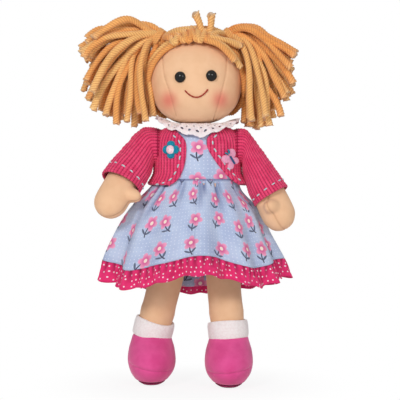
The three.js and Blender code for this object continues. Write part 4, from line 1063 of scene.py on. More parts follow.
# %% [markdown]
# ## Printed dress cotton
# The dress is thin pale blue cotton with white pin dots and pink blossoms on dark stems. The print lives on
# the flat cloth, in millimetres, so it gathers as the cloth does. A picture would blur from near. One Voronoi
# texture scatters the motifs: every cell knows its own middle, and a flower is drawn about it.

# %% Scattered motifs
def below(finish, value, edge, soft):
    return ramp(finish, value, edge, edge + soft, 1.0, 0.0)

def motif_places(finish, where, every, spread):
    """Across and up from the middle of each cell, turned by the cell's own chance angle."""
    sockets = {"Vector": where, "Scale": 1 / every, "Randomness": spread}
    cells = wire(finish, "TexVoronoi", sockets, voronoi_dimensions="2D").outputs
    offset = wire(finish, "VectorMath", {0: where, 1: cells["Position"]}, operation="SUBTRACT").outputs[0]
    chance = wire(finish, "SeparateColor", {0: cells["Color"]}).outputs[0]
    angle = calc(finish, "MULTIPLY_ADD", chance, 1.5, -0.75)
    turned = wire(finish, "VectorRotate", {"Vector": offset, "Angle": angle}, rotation_type="Z_AXIS").outputs[0]
    return wire(finish, "SeparateXYZ", {0: turned}).outputs[:2]

def scattered_spots(finish, where, every, spread, radius, soft):
    sockets = {"Vector": where, "Scale": 1 / every, "Randomness": spread}
    away = wire(finish, "TexVoronoi", sockets, voronoi_dimensions="2D").outputs["Distance"]
    return below(finish, calc(finish, "MULTIPLY", away, every), radius, soft)

def plain_weave(finish, where, pitch):
    threads = [waves(finish, where, 0.314 / pitch, 0.4, way) for way in "XY"]
    crossing = calc(finish, "ADD", *threads)
    bump(finish, calc(finish, "ADD", crossing, noise(finish, where, 2.0)), 0.25, 0.0002)

print("motif helpers are ready")

# %% Flower shapes
cotton = new_finish("dress cotton", 0.8, sheen=0.12, specular=0.2)
flat = on_cloth(cotton)
MOTIF_EVERY, MOTIF_SPREAD, MOTIF_SIZE, PETAL_PAIRS = 25, 0.5, 0.83, 2.5

def on_cotton(operation):
    return lambda *values: calc(cotton, operation, *values)

times, plus, minus, divided = (on_cotton(name) for name in ("MULTIPLY", "ADD", "SUBTRACT", "DIVIDE"))
times_plus, magnitude = on_cotton("MULTIPLY_ADD"), on_cotton("ABSOLUTE")

def sum_of_squares(a, b):
    return plus(times(a, a), times(b, b))

motif_x, motif_y = (times(way, MOTIF_SIZE) for way in motif_places(cotton, flat, MOTIF_EVERY, MOTIF_SPREAD))
reach = calc(cotton, "SQRT", sum_of_squares(motif_x, motif_y))
around = calc(cotton, "ARCTAN2", motif_y, motif_x)
lobes = magnitude(calc(cotton, "COSINE", times(around, PETAL_PAIRS)))
petals = below(cotton, minus(reach, times_plus(lobes, 2.3, 3.4)), 0.0, 0.45)
heart = below(cotton, reach, 1.25, 0.5)
sway = times(calc(cotton, "SINE", times(motif_y, 0.28)), 1.3)
off_stem = magnitude(minus(motif_x, sway))
stem_long = times(ramp(cotton, motif_y, -11.0, -10.4), ramp(cotton, motif_y, -3.2, -2.8, 1.0, 0.0))
stem = times(below(cotton, off_stem, 0.34, 0.3), stem_long)
leaf_x = divided(minus(off_stem, 2.3), 2.1)
leaf_y = divided(plus(motif_y, times_plus(off_stem, -0.7, 8.6)), 0.95)
leaves = below(cotton, sum_of_squares(leaf_x, leaf_y), 0.75, 0.5)
print("flowers about", MOTIF_EVERY, "mm apart")

# %% Dress print
dots = scattered_spots(cotton, flat, 3.4, 0.25, 0.42, 0.22)
petal_pink = shaded(cotton, reach, 1.0, 5.6, (214, 92, 150), (238, 160, 192))
colour = shaded(cotton, noise(cotton, flat, 0.05, 3), 0.3, 0.7, (192, 205, 231), (172, 186, 218))
# The last layer is painted shade in the skirt's tucks and just under the waist seam.
for share, over in (
    (times(dots, 0.5), (238, 240, 250)), (stem, (74, 72, 92)), (leaves, (96, 104, 128)), (petals, petal_pink),
    (heart, (246, 226, 214)), (painted(cotton, "crease_shade"), (88, 98, 146)),
):
    colour = tint(cotton, share, colour, over)
give(cotton, "Base Color", colour)
plain_weave(cotton, flat, 0.55)
print("dress print drawn in", len(cotton.node_tree.nodes), "nodes")

# %% [markdown]
# ## Bodice
# The bodice hugs the body and shows only between the cardigan's fronts. It could be a swollen copy of the
# body. The body's outline, pushed out by the cloth's ease, lets the edges be put where they belong: a band
# round the neck, holes at the arms and a slot for the tape at the back.

# %% Bodice
BODICE_EASE, BODICE_THICKNESS, NECK_OPENING = 0.8, 1.0, 21.0
BODICE_OUTSIDE = BODICE_EASE + BODICE_THICKNESS
BODICE_COLUMNS, BODICE_FLAT_RADIUS = 200, 33
ARM_PLANE, SHOULDER = abs(pivots["left_shoulder"][0]), pivots["left_shoulder"][2]
SKIRT_TOP = box_of("dress_skirt")[1][2]
COLLAR_SEAT = box_of("lace_collar")[1][2] - 3.6
SLEEVE_TOP = ARM_RADIUS + 1.2 + 1.6
STRIP_WIDTH, STRIP_LENGTH = 10.0, 28.0
STRIP_MIDDLE = (SKIRT_TOP + SHOULDER) / 2

def torso_wrap(offset_at, lowest, opening):
    """The body's outline pushed out by an offset that depends on height."""
    kept = (torso_line[:, 1] >= lowest) & (torso_line[:, 0] >= opening)
    line, slope = torso_line[kept], torso_slope[kept]
    offset = offset_at(line[:, 1])
    return np.stack([line[:, 0] + slope[:, 1] * offset, line[:, 1] - slope[:, 0] * offset], 1)

def in_armhole(middles, inset, radius):
    past_seam = np.abs(middles[..., 0]) > ARM_PLANE - inset
    return past_seam & (np.hypot(middles[..., 1], middles[..., 2] - SHOULDER) < radius)

def tucked_in(z):
    return BODICE_OUTSIDE - 1.1 * smooth(SKIRT_TOP - z, -0.6, 0.6)

bodice_line = torso_wrap(tucked_in, SKIRT_TOP - 4, NECK_OPENING)[::2]
band_radius, band_foot = bodice_line[-1] + (-0.4, 0.5)
band = np.stack([np.full(5, band_radius), np.linspace(band_foot, COLLAR_SEAT - GAP, 5)], 1)
bodice_grid = rings(np.concatenate([bodice_line, band]), BODICE_COLUMNS, DEPTH_SHARE)
middles = quad_middles(bodice_grid, True)
slot = (middles[..., 1] > 0) & (np.abs(middles[..., 0]) < STRIP_WIDTH / 2 + GAP)
slot &= np.abs(middles[..., 2] - STRIP_MIDDLE) < STRIP_LENGTH / 2 + GAP
turn = np.linspace(0, 2 * math.pi, BODICE_COLUMNS + 1)[None]
up_cloth = gone_along(bodice_grid[:, 0])[:, None]
bodice_uv = together(turn * BODICE_FLAT_RADIUS, up_cloth)
bodice = cloth(
    "bodice_cloth", bodice_grid, BODICE_THICKNESS, cotton, True, bodice_grid.mean((0, 1)), bodice_uv,
    {"crease_shade": np.zeros(bodice_grid.shape[:2])}, in_armhole(middles, 1.6, SLEEVE_TOP + 1.3) | slot,
)
settle(bodice, "torso", "dress_print", "dress_bodice")

# %% [markdown]
# ## Fastening tape
# At the back the bodice closes with a strip of hook tape. A flat strip would stick out of the round back, so
# it is a small curved sheet that lies in its slot, with rows of tiny bumps for the hooks.

# %% Fastening tape
TAPE_RIDGE, RIDGE_EVERY = 0.16, 1.6

def pebbled_finish(name, roughness, sheen, scale, low, high, under, over, depth):
    finish = new_finish(name, roughness, sheen)
    cells = wire(finish, "TexVoronoi", {"Vector": on_object(finish), "Scale": scale}).outputs["Distance"]
    give(finish, "Base Color", shaded(finish, cells, low, high, under, over))
    bump(finish, cells, 0.6, depth)
    return finish

tape = pebbled_finish("fastening tape", 0.9, 0.2, 900, 0.1, 0.6, (238, 238, 242), (196, 196, 208), 0.0006)
strip_across = np.linspace(-1, 1, 40)[None] * (STRIP_WIDTH / 2)
strip_rise = np.linspace(-1, 1, 90)[:, None] * (STRIP_LENGTH / 2) + STRIP_MIDDLE
radius_at = np.interp(strip_rise, bodice_line[:, 1], bodice_line[:, 0])
strip_deep = radius_at * DEPTH_SHARE * np.sqrt(1 - (strip_across / radius_at) ** 2)
ridge_up, ridge_across = (np.cos(way * 2 * math.pi / RIDGE_EVERY) for way in (strip_rise, strip_across))
strip_deep = strip_deep + TAPE_RIDGE * ridge_up * ridge_across + 0.1
strip_grid = together(strip_across, strip_deep, strip_rise)
strip = cloth("fastening_tape", strip_grid, BODICE_THICKNESS, tape, False, np.array([0, 0, STRIP_MIDDLE]))
settle(strip, "torso", "fastening_tape", "back_fastening_strip")

# %% [markdown]
# ## The skirt's form
# The skirt is a straight strip of cotton gathered into the waist seam: tight tucks that fade out below it and
# open into soft folds at the hem. A cloth simulation would find folds by itself, but not the ones that this
# doll has, so each tuck is placed by its angle and depth.

# %% Skirt form
WAIST_HALF = float(np.interp(SKIRT_TOP, torso_line[:, 1], torso_line[:, 0])) + BODICE_OUTSIDE
SKIRT_LENGTH, HEM_HALF, HEM_DEEP, HEM_TILT = 78.0, 80.0, 53.0, 5.5
HEM_SHIFT, HEM_TURNING, TURNING_INSET = -4.0, 10.0, 1.7
FOLDS, FOLD_DEPTH, TUCK_DEPTH, WAIST_PUFF, SLEEVE_PRESS = 13, 3.9, 3.0, 2.6, 4.4
TUCKS_IN_FRONT = [-148, -136, -113, -107, -86, -81, -65, -60, -30, -22]
TUCKS_BEHIND = list(range(4, 178, 14))
# the hem's rise and dip round the doll: degrees from the front, millimetres down and how wide
HEM_WAVES = [(-46, 8.0, 20), (6, -7.0, 17), (46, 6.0, 18), (-92, -3.6, 18), (92, -3.2, 18), (180, 9.0, 55)]

def hem_fall(turn):
    fall = SKIRT_LENGTH + HEM_TILT * (np.sin(turn) - 0.35 * np.cos(2 * turn))
    for degrees, drop, wide in HEM_WAVES:
        near = (np.degrees(turn) + 90 - degrees + 180) % 360 - 180
        fall = fall + drop * bell(near, wide)
    return fall

def skirt_tucks(turn, v):
    total = np.zeros(np.broadcast(turn, v).shape)
    for i, degrees in enumerate(TUCKS_IN_FRONT + TUCKS_BEHIND):
        long = 0.42 + 0.18 * math.sin(2.3 * i)
        deep = 0.8 + 0.3 * math.cos(5.1 * i)
        wide = np.radians(2.1 + 1.5 * v / long)
        near = (turn - math.radians(degrees) + math.pi) % (2 * math.pi) - math.pi
        total = total + bell(near, wide) * smooth(v, long, 0.08) * smooth(v, 0.0, 0.05) * deep
    return total

def skirt_form(turn, v):
    waves_at_hem = np.cos(FOLDS * turn) + 0.5 * np.cos((FOLDS - 4) * turn + 1)
    fold = FOLD_DEPTH * v * waves_at_hem - TUCK_DEPTH * skirt_tucks(turn, v)
    puff = WAIST_PUFF * smooth(v, 0.08, 0.3) * smooth(v, 0.75, 0.35)
    belly = np.sin(math.pi * np.clip(v, 0, 1) ** 1.3) * (3.0 - 2.6 * np.cos(turn))
    under_sleeve = SLEEVE_PRESS * smooth(np.cos(turn), 0.55, 0.95) * bell(v - 0.18, 0.15) * smooth(v, 0, 0.05)
    half = WAIST_HALF + (HEM_HALF - WAIST_HALF) * v + fold + puff + belly - under_sleeve
    deep = WAIST_HALF * DEPTH_SHARE + (HEM_DEEP - WAIST_HALF * DEPTH_SHARE) * v + fold + puff
    return together(half * np.cos(turn) + HEM_SHIFT * v, deep * np.sin(turn), SKIRT_TOP - v * hem_fall(turn))

def skirt_cloth(turn, v):
    """The skirt down to the frill's seam, and the turning that hangs on behind the frill."""
    below_seam = np.maximum(v - 1, 0) * SKIRT_LENGTH
    inward = -TURNING_INSET * smooth(below_seam, 0, 1.6)
    shift = together(inward * np.cos(turn), inward * np.sin(turn), -below_seam)
    return skirt_form(turn, np.minimum(v, 1)) + shift

print("waist", round(2 * WAIST_HALF, 1), "mm, hem", 2 * HEM_HALF, "mm wide")

# %% [markdown]
# ## The skirt
# The skirt is made as a left and a right half that meet at the middle.

# %% Skirt
SKIRT_FLAT, SKIRT_FLAT_LONG = 470.0, 80.0
HALVES = (("left", -0.5 * math.pi), ("right", -1.5 * math.pi))

def follow_leg(piece):
    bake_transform(piece)

turning_down = 1 + np.linspace(0, HEM_TURNING, 9)[1:] / SKIRT_LENGTH
skirt_down = np.concatenate([np.linspace(0, 1, 64), turning_down])[:, None]
for side, start in HALVES:
    turn = np.linspace(start, start + math.pi, 230)[None]
    grid = skirt_cloth(turn, skirt_down)
    uv = together(turn / (2 * math.pi) * SKIRT_FLAT, -skirt_down * SKIRT_FLAT_LONG)
    # Painted shade in the tucks and just under the waist seam.
    crease_shade = 0.75 * np.clip(skirt_tucks(turn, skirt_down), 0, 1) + 0.7 * smooth(skirt_down, 0.025, 0.01)
    skirt = cloth("skirt_" + side, grid, 1.0, cotton, False, np.array([0, 0, 150.0]), uv, {"crease_shade": crease_shade})
    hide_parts("dress_skirt")
    follow_leg(skirt)
    print(skirt.name, "gathered from", SKIRT_FLAT / 2, "mm of cloth")

# %% [markdown]
# ## Hem frill
# A strip of fuchsia cotton with white spots is gathered on to the hem. One wave all round would look like a
# pie crust, so each ruffle is a sum of two: small tight gathers under the seam and wider ruffles that open
# downwards, neither quite even.

# %% Frill finish
frill_cotton = new_finish("frill cotton", 0.8, sheen=0.15, specular=0.2)
frill_at = on_cloth(frill_cotton)
colour = shaded(frill_cotton, noise(frill_cotton, frill_at, 0.12, 3), 0.3, 0.7, (236, 52, 118), (216, 40, 102))
colour = tint(frill_cotton, scattered_spots(frill_cotton, frill_at, 5.2, 0.6, 0.56, 0.32), colour, (246, 226, 236))
# Painted shade in the gathers and under the seam.
give(frill_cotton, "Base Color", tint(frill_cotton, painted(frill_cotton, "crease_shade"), colour, (112, 14, 52)))
plain_weave(frill_cotton, frill_at, 0.5)
print("frill cotton is printed")

# %% Hem frill
FRILL_HEIGHT, FRILL_FLARE, RUFFLES, RUFFLE_DEPTH, GATHER_DEPTH = 17.0, 5.0, 24, 2.8, 1.2
FRILL_FLAT, FRILL_FLAT_LONG = 690.0, 18.0

def gather_phase(turn):
    return 3 * RUFFLES * turn + 1.7 * np.sin(7 * turn)

def frill_form(turn, v):
    ruffle = RUFFLES * turn + 0.6 * np.sin(5 * turn) + 0.9 * np.sin(3 * turn + 1)
    wide = RUFFLE_DEPTH * np.cos(ruffle) * v
    tight = GATHER_DEPTH * np.cos(gather_phase(turn)) * np.sin(math.pi * np.clip(v * 1.1 + 0.12, 0, 1))
    out = v * FRILL_FLARE + wide + tight * 0.8
    edge = skirt_form(turn, np.ones_like(turn))
    outward = together(np.cos(turn), np.sin(turn), 0 * turn)
    drop = -0.5 - v * FRILL_HEIGHT - 0.5 * v * np.cos(9 * turn) - 0.9 * v * np.sin(ruffle + 0.5)
    return edge + outward * out[..., None] + together(0 * drop, 0 * drop, drop)

frill_down = np.linspace(0, 1, 20)[:, None]
for side, start in HALVES:
    turn = np.linspace(start, start + math.pi, 520)[None]
    grid = frill_form(turn + 0 * frill_down, frill_down + 0 * turn)
    uv = together(turn / (2 * math.pi) * FRILL_FLAT, -frill_down * FRILL_FLAT_LONG)
    gathers = 0.5 + 0.5 * np.cos(gather_phase(turn) + math.pi)
    # Painted shade in the hollows of the gathers, fading downwards, and under the seam.
    crease_shade = 0.75 * gathers ** 2 * smooth(frill_down, 0.75, 0.0) + 0.25 * smooth(frill_down, 0.07, 0.0)
    frill = cloth("frill_" + side, grid, 0.9, frill_cotton, False, np.array([0, 0, 105.0]), uv, {"crease_shade": crease_shade})
    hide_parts("dress_hem_frill")
    follow_leg(frill)
    print(frill.name, "gathered from", FRILL_FLAT / 2, "mm of strip")

# %% [markdown]
# ## Lace collar
# Eyelet lace is stiff cotton with punched holes and a scalloped edge. A see-through texture could fake the
# holes, but only real ones show cloth behind them from every side, so quads of the grid are left out. The
# collar lies over the shoulders.

# %% Lace form
LACE_SIDE, LACE_STAND, LACE_DROP, LACE_BOW, LACE_RISE = 2.5, 3.5, 9.5, 6.0, 1.9
SIDE_LIFT_RIGHT, SIDE_LIFT_LEFT = 8.3, 5.4
LACE_WIDTH, SCALLOPS, SCALLOP_COLUMNS = 24.0, 30, 24
LACE_INNER, LACE_OUTER, LACE_SEAT = NECK_OPENING + 0.6, ARM_PLANE + LACE_SIDE, COLLAR_SEAT + 0.8
lace_cotton = new_finish("lace cotton", 0.85, sheen=0.2, specular=0.2)
stitching = waves(lace_cotton, on_cloth(lace_cotton), 0.5, 3.0)
texture_and_shade = calc(lace_cotton, "MULTIPLY", stitching, 0.35)
# Painted shade round the row of large eyelets joins the stitching.
texture_and_shade = calc(lace_cotton, "MAXIMUM", texture_and_shade, painted(lace_cotton, "crease_shade"))
give(lace_cotton, "Base Color", tint(lace_cotton, texture_and_shade, (254, 250, 252), (222, 192, 206)))
bump(lace_cotton, stitching, 0.5, 0.0003)

def lace_form(turn, v):
    scallop = np.abs(np.cos(SCALLOPS * turn / 2)) ** 0.7
    reach = v * (0.955 + 0.075 * scallop * v)
    half = LACE_INNER + (LACE_OUTER - LACE_INNER) * reach
    deep = LACE_INNER * DEPTH_SHARE + (TORSO_DEPTH / 2 + LACE_STAND - LACE_INNER * DEPTH_SHARE) * reach
    fall = LACE_DROP * reach ** 2 * np.sin(turn) ** 4
    side_lift = np.where(np.cos(turn) < 0, SIDE_LIFT_RIGHT, SIDE_LIFT_LEFT) * v ** 1.2 * np.cos(turn) ** 6
    frilled = v * (np.cos(15 * turn) + 0.5 * np.cos(SCALLOPS * turn) + 0.8 * np.cos(7 * turn + 1))
    level = LACE_SEAT + LACE_RISE * (1 - v) ** 2 - fall + frilled + LACE_BOW * v * (1 - v) + side_lift
    return together(half * np.cos(turn), deep * np.sin(turn), level)

print("lace", LACE_WIDTH, "mm wide with", SCALLOPS, "scallops")

# %% Lace collar
# eyelets in each scallop: millimetres from its middle, share of the way down the lace, and radius
EYELETS = [(0.0, 0.78, 1.45), (3.6, 0.58, 1.1), (1.8, 0.4, 0.75)]
SCALLOP_WIDTH = 7.2
lace_columns = SCALLOPS * SCALLOP_COLUMNS
turn = full_turn(lace_columns)[None]
lace_down = np.linspace(0, 1, 44)[:, None]
lace_grid = lace_form(turn + 0 * lace_down, lace_down + 0 * turn)
cell = (np.arange(lace_columns)[None] + 0.5) / SCALLOP_COLUMNS % 1 - 0.5
across_mm = np.abs(cell) * SCALLOP_WIDTH
row = (lace_down[:-1] + lace_down[1:]) / 2
holes = np.zeros((len(row), lace_columns), bool)
for across, share, radius in EYELETS:
    holes |= np.hypot(across_mm - across, (row - share) * LACE_WIDTH) < radius
lace_uv = together(np.arange(lace_columns + 1)[None] * 0.3, lace_down * LACE_WIDTH)
rim_shade = 0.5 * bell((lace_down - 0.78) * LACE_WIDTH, 2.4) * (0.5 + 0.5 * np.cos(SCALLOPS * turn))
lace = cloth(
    "lace_collar_cloth", lace_grid, 0.7, lace_cotton, True, np.array([0, 0, 200.0]), lace_uv,
    {"crease_shade": rim_shade}, holes,
)
settle(lace, "torso", "lace", "lace_collar")
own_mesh(lace)
print("lace with", SCALLOPS * 4, "eyelets")

# %% [markdown]
# ## Cardigan knit
# The cardigan is a chunky rib knit in fuchsia. Each rib is a column of small V stitches, and the cut edges
# are rolled in. A bump would look flat at the outline, so the ribs and stitches are real relief on a fine
# grid. The finish only adds fibres, and the painted shade in the furrows that the grid has marked.

# %% Knit finish and relief
knit_wool = new_finish("cardigan wool", 0.92, sheen=0.3, specular=0.12)
wool_at = on_object(knit_wool)
fibres = noise(knit_wool, wool_at, 1300, 3)
colour = shaded(knit_wool, noise(knit_wool, wool_at, 140, 3), 0.3, 0.7, (240, 80, 124), (226, 62, 108))
# Painted shade in the furrows, with fibres mixed in.
furrow_shade = calc(knit_wool, "MULTIPLY_ADD", fibres, 0.3, painted(knit_wool, "groove_shade"))
give(knit_wool, "Base Color", shaded(knit_wool, furrow_shade, 0.35, 1.25, colour, (150, 18, 60)))
bump(knit_wool, fibres, 0.5, 0.0004)
RIB, STITCH = 3.3, 2.6

def knit_relief(across, along):
    """Height of the stitches and painted shade in the furrows, from places in millimetres."""
    side = 2 * np.abs(across / RIB - np.round(across / RIB))
    crown = 1 - side ** 2
    stitch = 0.5 + 0.5 * np.cos(2 * math.pi * (along / STITCH + 0.55 * side))
    height = 0.72 * crown + 0.5 * stitch * (0.35 + 0.65 * crown) - 0.55
    return height, np.clip(0.95 - 0.55 * crown - 0.45 * stitch * crown, 0, 1)

print("knit relief: ribs of", RIB, "mm")

# %% [markdown]
# ## The cardigan's outline
# Back and fronts are the body's outline once more, pushed out over the bodice and flared at the hem to clear
# the gathered skirt. A place on the cardigan is then a row of that outline and an angle from the front, and
# the ribs are counted in millimetres round the chest.

# %% Cardigan outline
CARDIGAN_THICKNESS, CARDIGAN_DROP, CARDIGAN_EASE, CHEST = 2.2, 7.0, 0.6, 39.0
ROW_STEP = 0.5
CARDIGAN_HEM = SKIRT_TOP - CARDIGAN_DROP
hem_share = CARDIGAN_DROP / (SKIRT_LENGTH - 2 * HEM_TILT)
skirt_across = WAIST_HALF + (HEM_HALF - WAIST_HALF) * hem_share
skirt_deep = WAIST_HALF * DEPTH_SHARE + (HEM_DEEP - WAIST_HALF * DEPTH_SHARE) * hem_share
skirt_below = max(skirt_across, skirt_deep / DEPTH_SHARE) + 2 * FOLD_DEPTH * hem_share

def torso_at(z):
    return np.interp(z, torso_line[:, 1], torso_line[:, 0])

cardigan_flare = max(skirt_below - float(torso_at(CARDIGAN_HEM)) - BODICE_OUTSIDE, 0)

def cardigan_outside(z):
    flare = smooth(SKIRT_TOP + CARDIGAN_DROP - z, 0, 2 * CARDIGAN_DROP)
    return BODICE_OUTSIDE + CARDIGAN_EASE + cardigan_flare * flare + CARDIGAN_THICKNESS

wrap_line = torso_wrap(cardigan_outside, CARDIGAN_HEM, NECK_OPENING + BODICE_THICKNESS + 2.4)
wrap_line, wrap_gone = even(np.concatenate([wrap_line, 0 * wrap_line[:, :1]], 1), ROW_STEP)
wrap_half, wrap_rise = wrap_line[:, 0], wrap_line[:, 1]
all_rows = np.arange(len(wrap_half))
round_angle = np.linspace(0, 2 * math.pi, 2001)
step_long = CHEST * np.hypot(np.cos(round_angle), DEPTH_SHARE * np.sin(round_angle)) * round_angle[1]
round_arc = np.concatenate([[0], np.cumsum(step_long)[:-1]])

def wale_at(angle):
    """Millimetres round the chest at an angle from the front."""
    return np.sign(angle) * np.interp(np.abs(angle), round_angle, round_arc)

def on_wrap(rows, angle):
    """Places on the cardigan by row and by angle from the front."""
    half, rise = (np.interp(rows, all_rows, line) for line in (wrap_half, wrap_rise))
    half, rise, angle = np.broadcast_arrays(half, rise, angle)
    return together(half * np.sin(angle), -half * DEPTH_SHARE * np.cos(angle), rise)

print("cardigan in mm:", round(round_arc[-1], 1), "round by", round(wrap_gone[-1], 1))

# %% [markdown]
# ## Cardigan body
# Each front is a grid from its curved edge round to the side seam, so its edge is a clean line; cutting the
# edge out of a larger grid would leave steps. A round armhole is left out, a little smaller than the sleeve,
# so that the sleeve comes out of it without a gap.

# %% Knitted panels
ARMHOLE_CUT = SLEEVE_TOP - 1.6
CHEST_MIDDLE = np.array([0, 0, 210.0])

def knitted(name, rows, angles, edge_gap):
    along = np.interp(rows, all_rows, wrap_gone) + 0 * angles
    height, groove_shade = knit_relief(wale_at(angles), along)
    roll = 0.4 * smooth(edge_gap, 4.5, 1.0) - 1.3 * smooth(edge_gap, 1.6, 0.0) ** 2
    height = height * (0.2 + 0.8 * smooth(edge_gap, 0.2, 3.2))
    grid = on_wrap(rows, angles)
    grid = grid + outward_normals(grid, False, CHEST_MIDDLE) * (height + roll)[..., None]
    flat = together(wale_at(angles), along)
    armhole = in_armhole(quad_middles(grid, False), 9, ARMHOLE_CUT)
    return cloth(
        name, grid, CARDIGAN_THICKNESS, knit_wool, False, CHEST_MIDDLE, flat, {"groove_shade": groove_shade}, armhole,
    )

print("armholes are cut with a radius of", ARMHOLE_CUT, "mm")

# %% Cardigan fronts
# each front's edge from the neck down: across and up, as shares of the half width and the height
FRONT_EDGES = {
    "left": [
        (0.44, 1.02), (0.27, 0.9), (0.22, 0.8), (0.26, 0.65),
        (0.44, 0.44), (0.64, 0.26), (0.86, 0.12), (1.05, 0.03),
    ],
    "right": [
        (0.57, 1.02), (0.45, 0.95), (0.29, 0.8), (0.27, 0.58),
        (0.34, 0.31), (0.52, 0.1), (0.78, 0.01), (1.05, -0.03),
    ],
}
edge_sizes = np.array([ARM_PLANE + CARDIGAN_THICKNESS, TORSO_TOP - CARDIGAN_HEM])
front_edges = {}
for side, knots in FRONT_EDGES.items():
    curve = spline([(0, CARDIGAN_HEM) + np.array(knot) * edge_sizes for knot in knots], 300)[::-1]
    foot = max(float(curve[:, 1].min()), CARDIGAN_HEM) + 0.2
    rows = np.arange(np.searchsorted(wrap_rise, foot), len(wrap_half))
    edge_x = np.interp(wrap_rise[rows], curve[:, 1], curve[:, 0])
    edge_angle = np.arcsin(np.clip(edge_x / wrap_half[rows], 0, 1))
    angles = edge_angle[:, None] + np.linspace(0, 1, 104)[None] * (0.5 * math.pi - edge_angle[:, None])
    slope = np.gradient(wale_at(edge_angle), wrap_gone[rows])
    edge_gap = (wale_at(angles) - wale_at(edge_angle)[:, None]) / np.hypot(1, slope)[:, None]
    edge_gap = np.minimum(edge_gap, (rows - rows[0])[:, None] * ROW_STEP)
    front = knitted("cardigan_front_" + side, rows[:, None], SIDES[side] * angles, edge_gap)
    settle(front, "torso", "cardigan_knit", "cardigan_" + side + "_front")
    front_edges[side] = (rows, edge_angle, slope)

# %% Cardigan back
rows = all_rows[:, None].astype(float)
angles = np.linspace(0.5 * math.pi, 1.5 * math.pi, 250)[None]
back = knitted("cardigan_back_panel", rows + 0 * angles, angles + 0 * rows, (rows - 1) * ROW_STEP + 0 * angles)
settle(back, "torso", "cardigan_knit", "cardigan_back")

# %% [markdown]
# ## Sleeves
# A sleeve is a knitted tube with its ribs lengthwise. Its rings reach from its outer to its inner line and
# carry the rib relief. The tube starts inside the armhole and is round there, so no gap opens when the arm
# swings; a sleeve joined to the body would have to stretch instead.

# %% Sleeves
SLEEVE_THICKNESS, SLEEVE_RIBS, RIB_COLUMNS, SLEEVE_GIRTH = 1.6, 34, 7, 120
SLEEVE_END = HAND_RADIUS + 0.4 + SLEEVE_THICKNESS
SLEEVE_SEEDS = {"left": 52, "right": 50}
# the rings inside the armhole: distance from the seam, and how much smaller they are
SLEEVE_INSET, INSET_AT, INSET_LESS = 4.2, [-4.2, -1.4, 0], [2.0, 0.4, 0.0]
columns = SLEEVE_RIBS * RIB_COLUMNS
around = np.arange(columns)[None] / columns
inset = np.linspace(-SLEEVE_INSET, 0, 8)[:-1]
shrink = 1 - np.interp(inset, INSET_AT, INSET_LESS) / SLEEVE_TOP

def sleeve_lines(side, sign):
    """A sleeve's middle, half width, half depth and distance gone, row by row."""
    outer, inner = sleeve_edges(side, sign)
    _, gone = even((inner + outer) / 2, 0.6)
    share = gone / gone[-1] * (SLEEVE_POINTS - 1)
    inner, outer = (spread(share, np.arange(SLEEVE_POINTS), line) for line in (inner, outer))
    path, across = (inner + outer) / 2, (inner - outer) / 2
    deep = np.interp(gone, [0, 1.5, 22, gone[-1]], [SLEEVE_TOP - 0.4, SLEEVE_TOP, SLEEVE_TOP - 0.4, SLEEVE_END])
    return (
        np.concatenate([path[:1] + inset[:, None] * (sign, 0, 0), path]),
        np.concatenate([across[:1] * shrink[:, None], across]),
        np.concatenate([deep[:1] * shrink, deep]),
        np.concatenate([inset, gone]),
    )

sleeve_tubes = {}
for side, sign in SIDES.items():
    path, across, deep, gone = sleeve_lines(side, sign)
    shoulder, turn = arm_frames[side]
    angle = 2 * math.pi * around[..., None]
    tube = path[:, None] + across[:, None] * np.cos(angle) + deep[:, None, None] * np.sin(angle) * (0, 1, 0)
    outward = outward_normals(tube, True, path[:, None])
    height, groove_shade = knit_relief(around * SLEEVE_RIBS * RIB, gone[:, None])
    bunched = smooth(gone, 2, 12) * smooth(gone, gone[-1] - 4, gone[-1] - 20)
    folds = 0.9 * bunched[:, None] * ripple(tube * (1, 1, 1.8), 21, SLEEVE_SEEDS[side])
    to_cuff = (gone[-1] - gone)[:, None]
    cuff = 0.3 * smooth(to_cuff, 6, 1.5) - 1.2 * smooth(to_cuff, 1.6, 0) ** 2
    knit = (tube + outward * (height + folds + cuff)[..., None]) @ turn.T + shoulder
    # Painted shade in a ring where the sleeve comes out of the armhole.
    groove_shade = np.clip(groove_shade + 0.7 * bell(gone - 0.2, 1.7)[:, None], 0, 1)
    flat = together(np.arange(columns + 1)[None] / columns * SLEEVE_GIRTH, gone[:, None])
    sleeve = cloth(
        side + "_sleeve_knit", knit, SLEEVE_THICKNESS, knit_wool, True, path[:, None] @ turn.T + shoulder,
        flat, {"groove_shade": groove_shade},
    )
    settle(sleeve, side + "_arm", "cardigan_knit", side + "_sleeve")
    sleeve_tubes[side] = ((tube + outward * folds[..., None]) @ turn.T + shoulder, outward @ turn.T, gone)
    print(sleeve.name, "is", round(gone[-1], 1), "mm long along its middle")

# %% [markdown]
# ## Running stitches
# Pale blue thread goes in and out along the front edges and round the cuffs. One long thread would lie on
# the knit like a cord, so each stitch is a short piece of thread whose two ends dip into the knit.

# %% Running stitches
STITCH_LONG, STITCH_EVERY, CUFF_STITCH_EVERY, THREAD = 3.2, 7.4, 9.0, 0.72
EDGE_TO_STITCH, CUFF_TO_STITCH = 5.2, 9.5
blue_thread = thread_finish("running thread", (214, 236, 238), (140, 186, 198))

def running(line, outward, every):
    gone = gone_along(line)
    share = np.linspace(0, 1, 9)
    paths = []
    for start in np.arange(2.0, gone[-1] - STITCH_LONG, every):
        foot, up = (spread(start + share * STITCH_LONG, gone, values) for values in (line, outward))
        paths.append(foot + up * (1.25 * np.sin(math.pi * share) ** 0.5 - 0.5)[:, None])
    return paths

def stitched(name, paths, body, seed):
    settle(spun(name, paths, THREAD, blue_thread, 2, 2.6, 0.3, seed), body, "cardigan_knit")

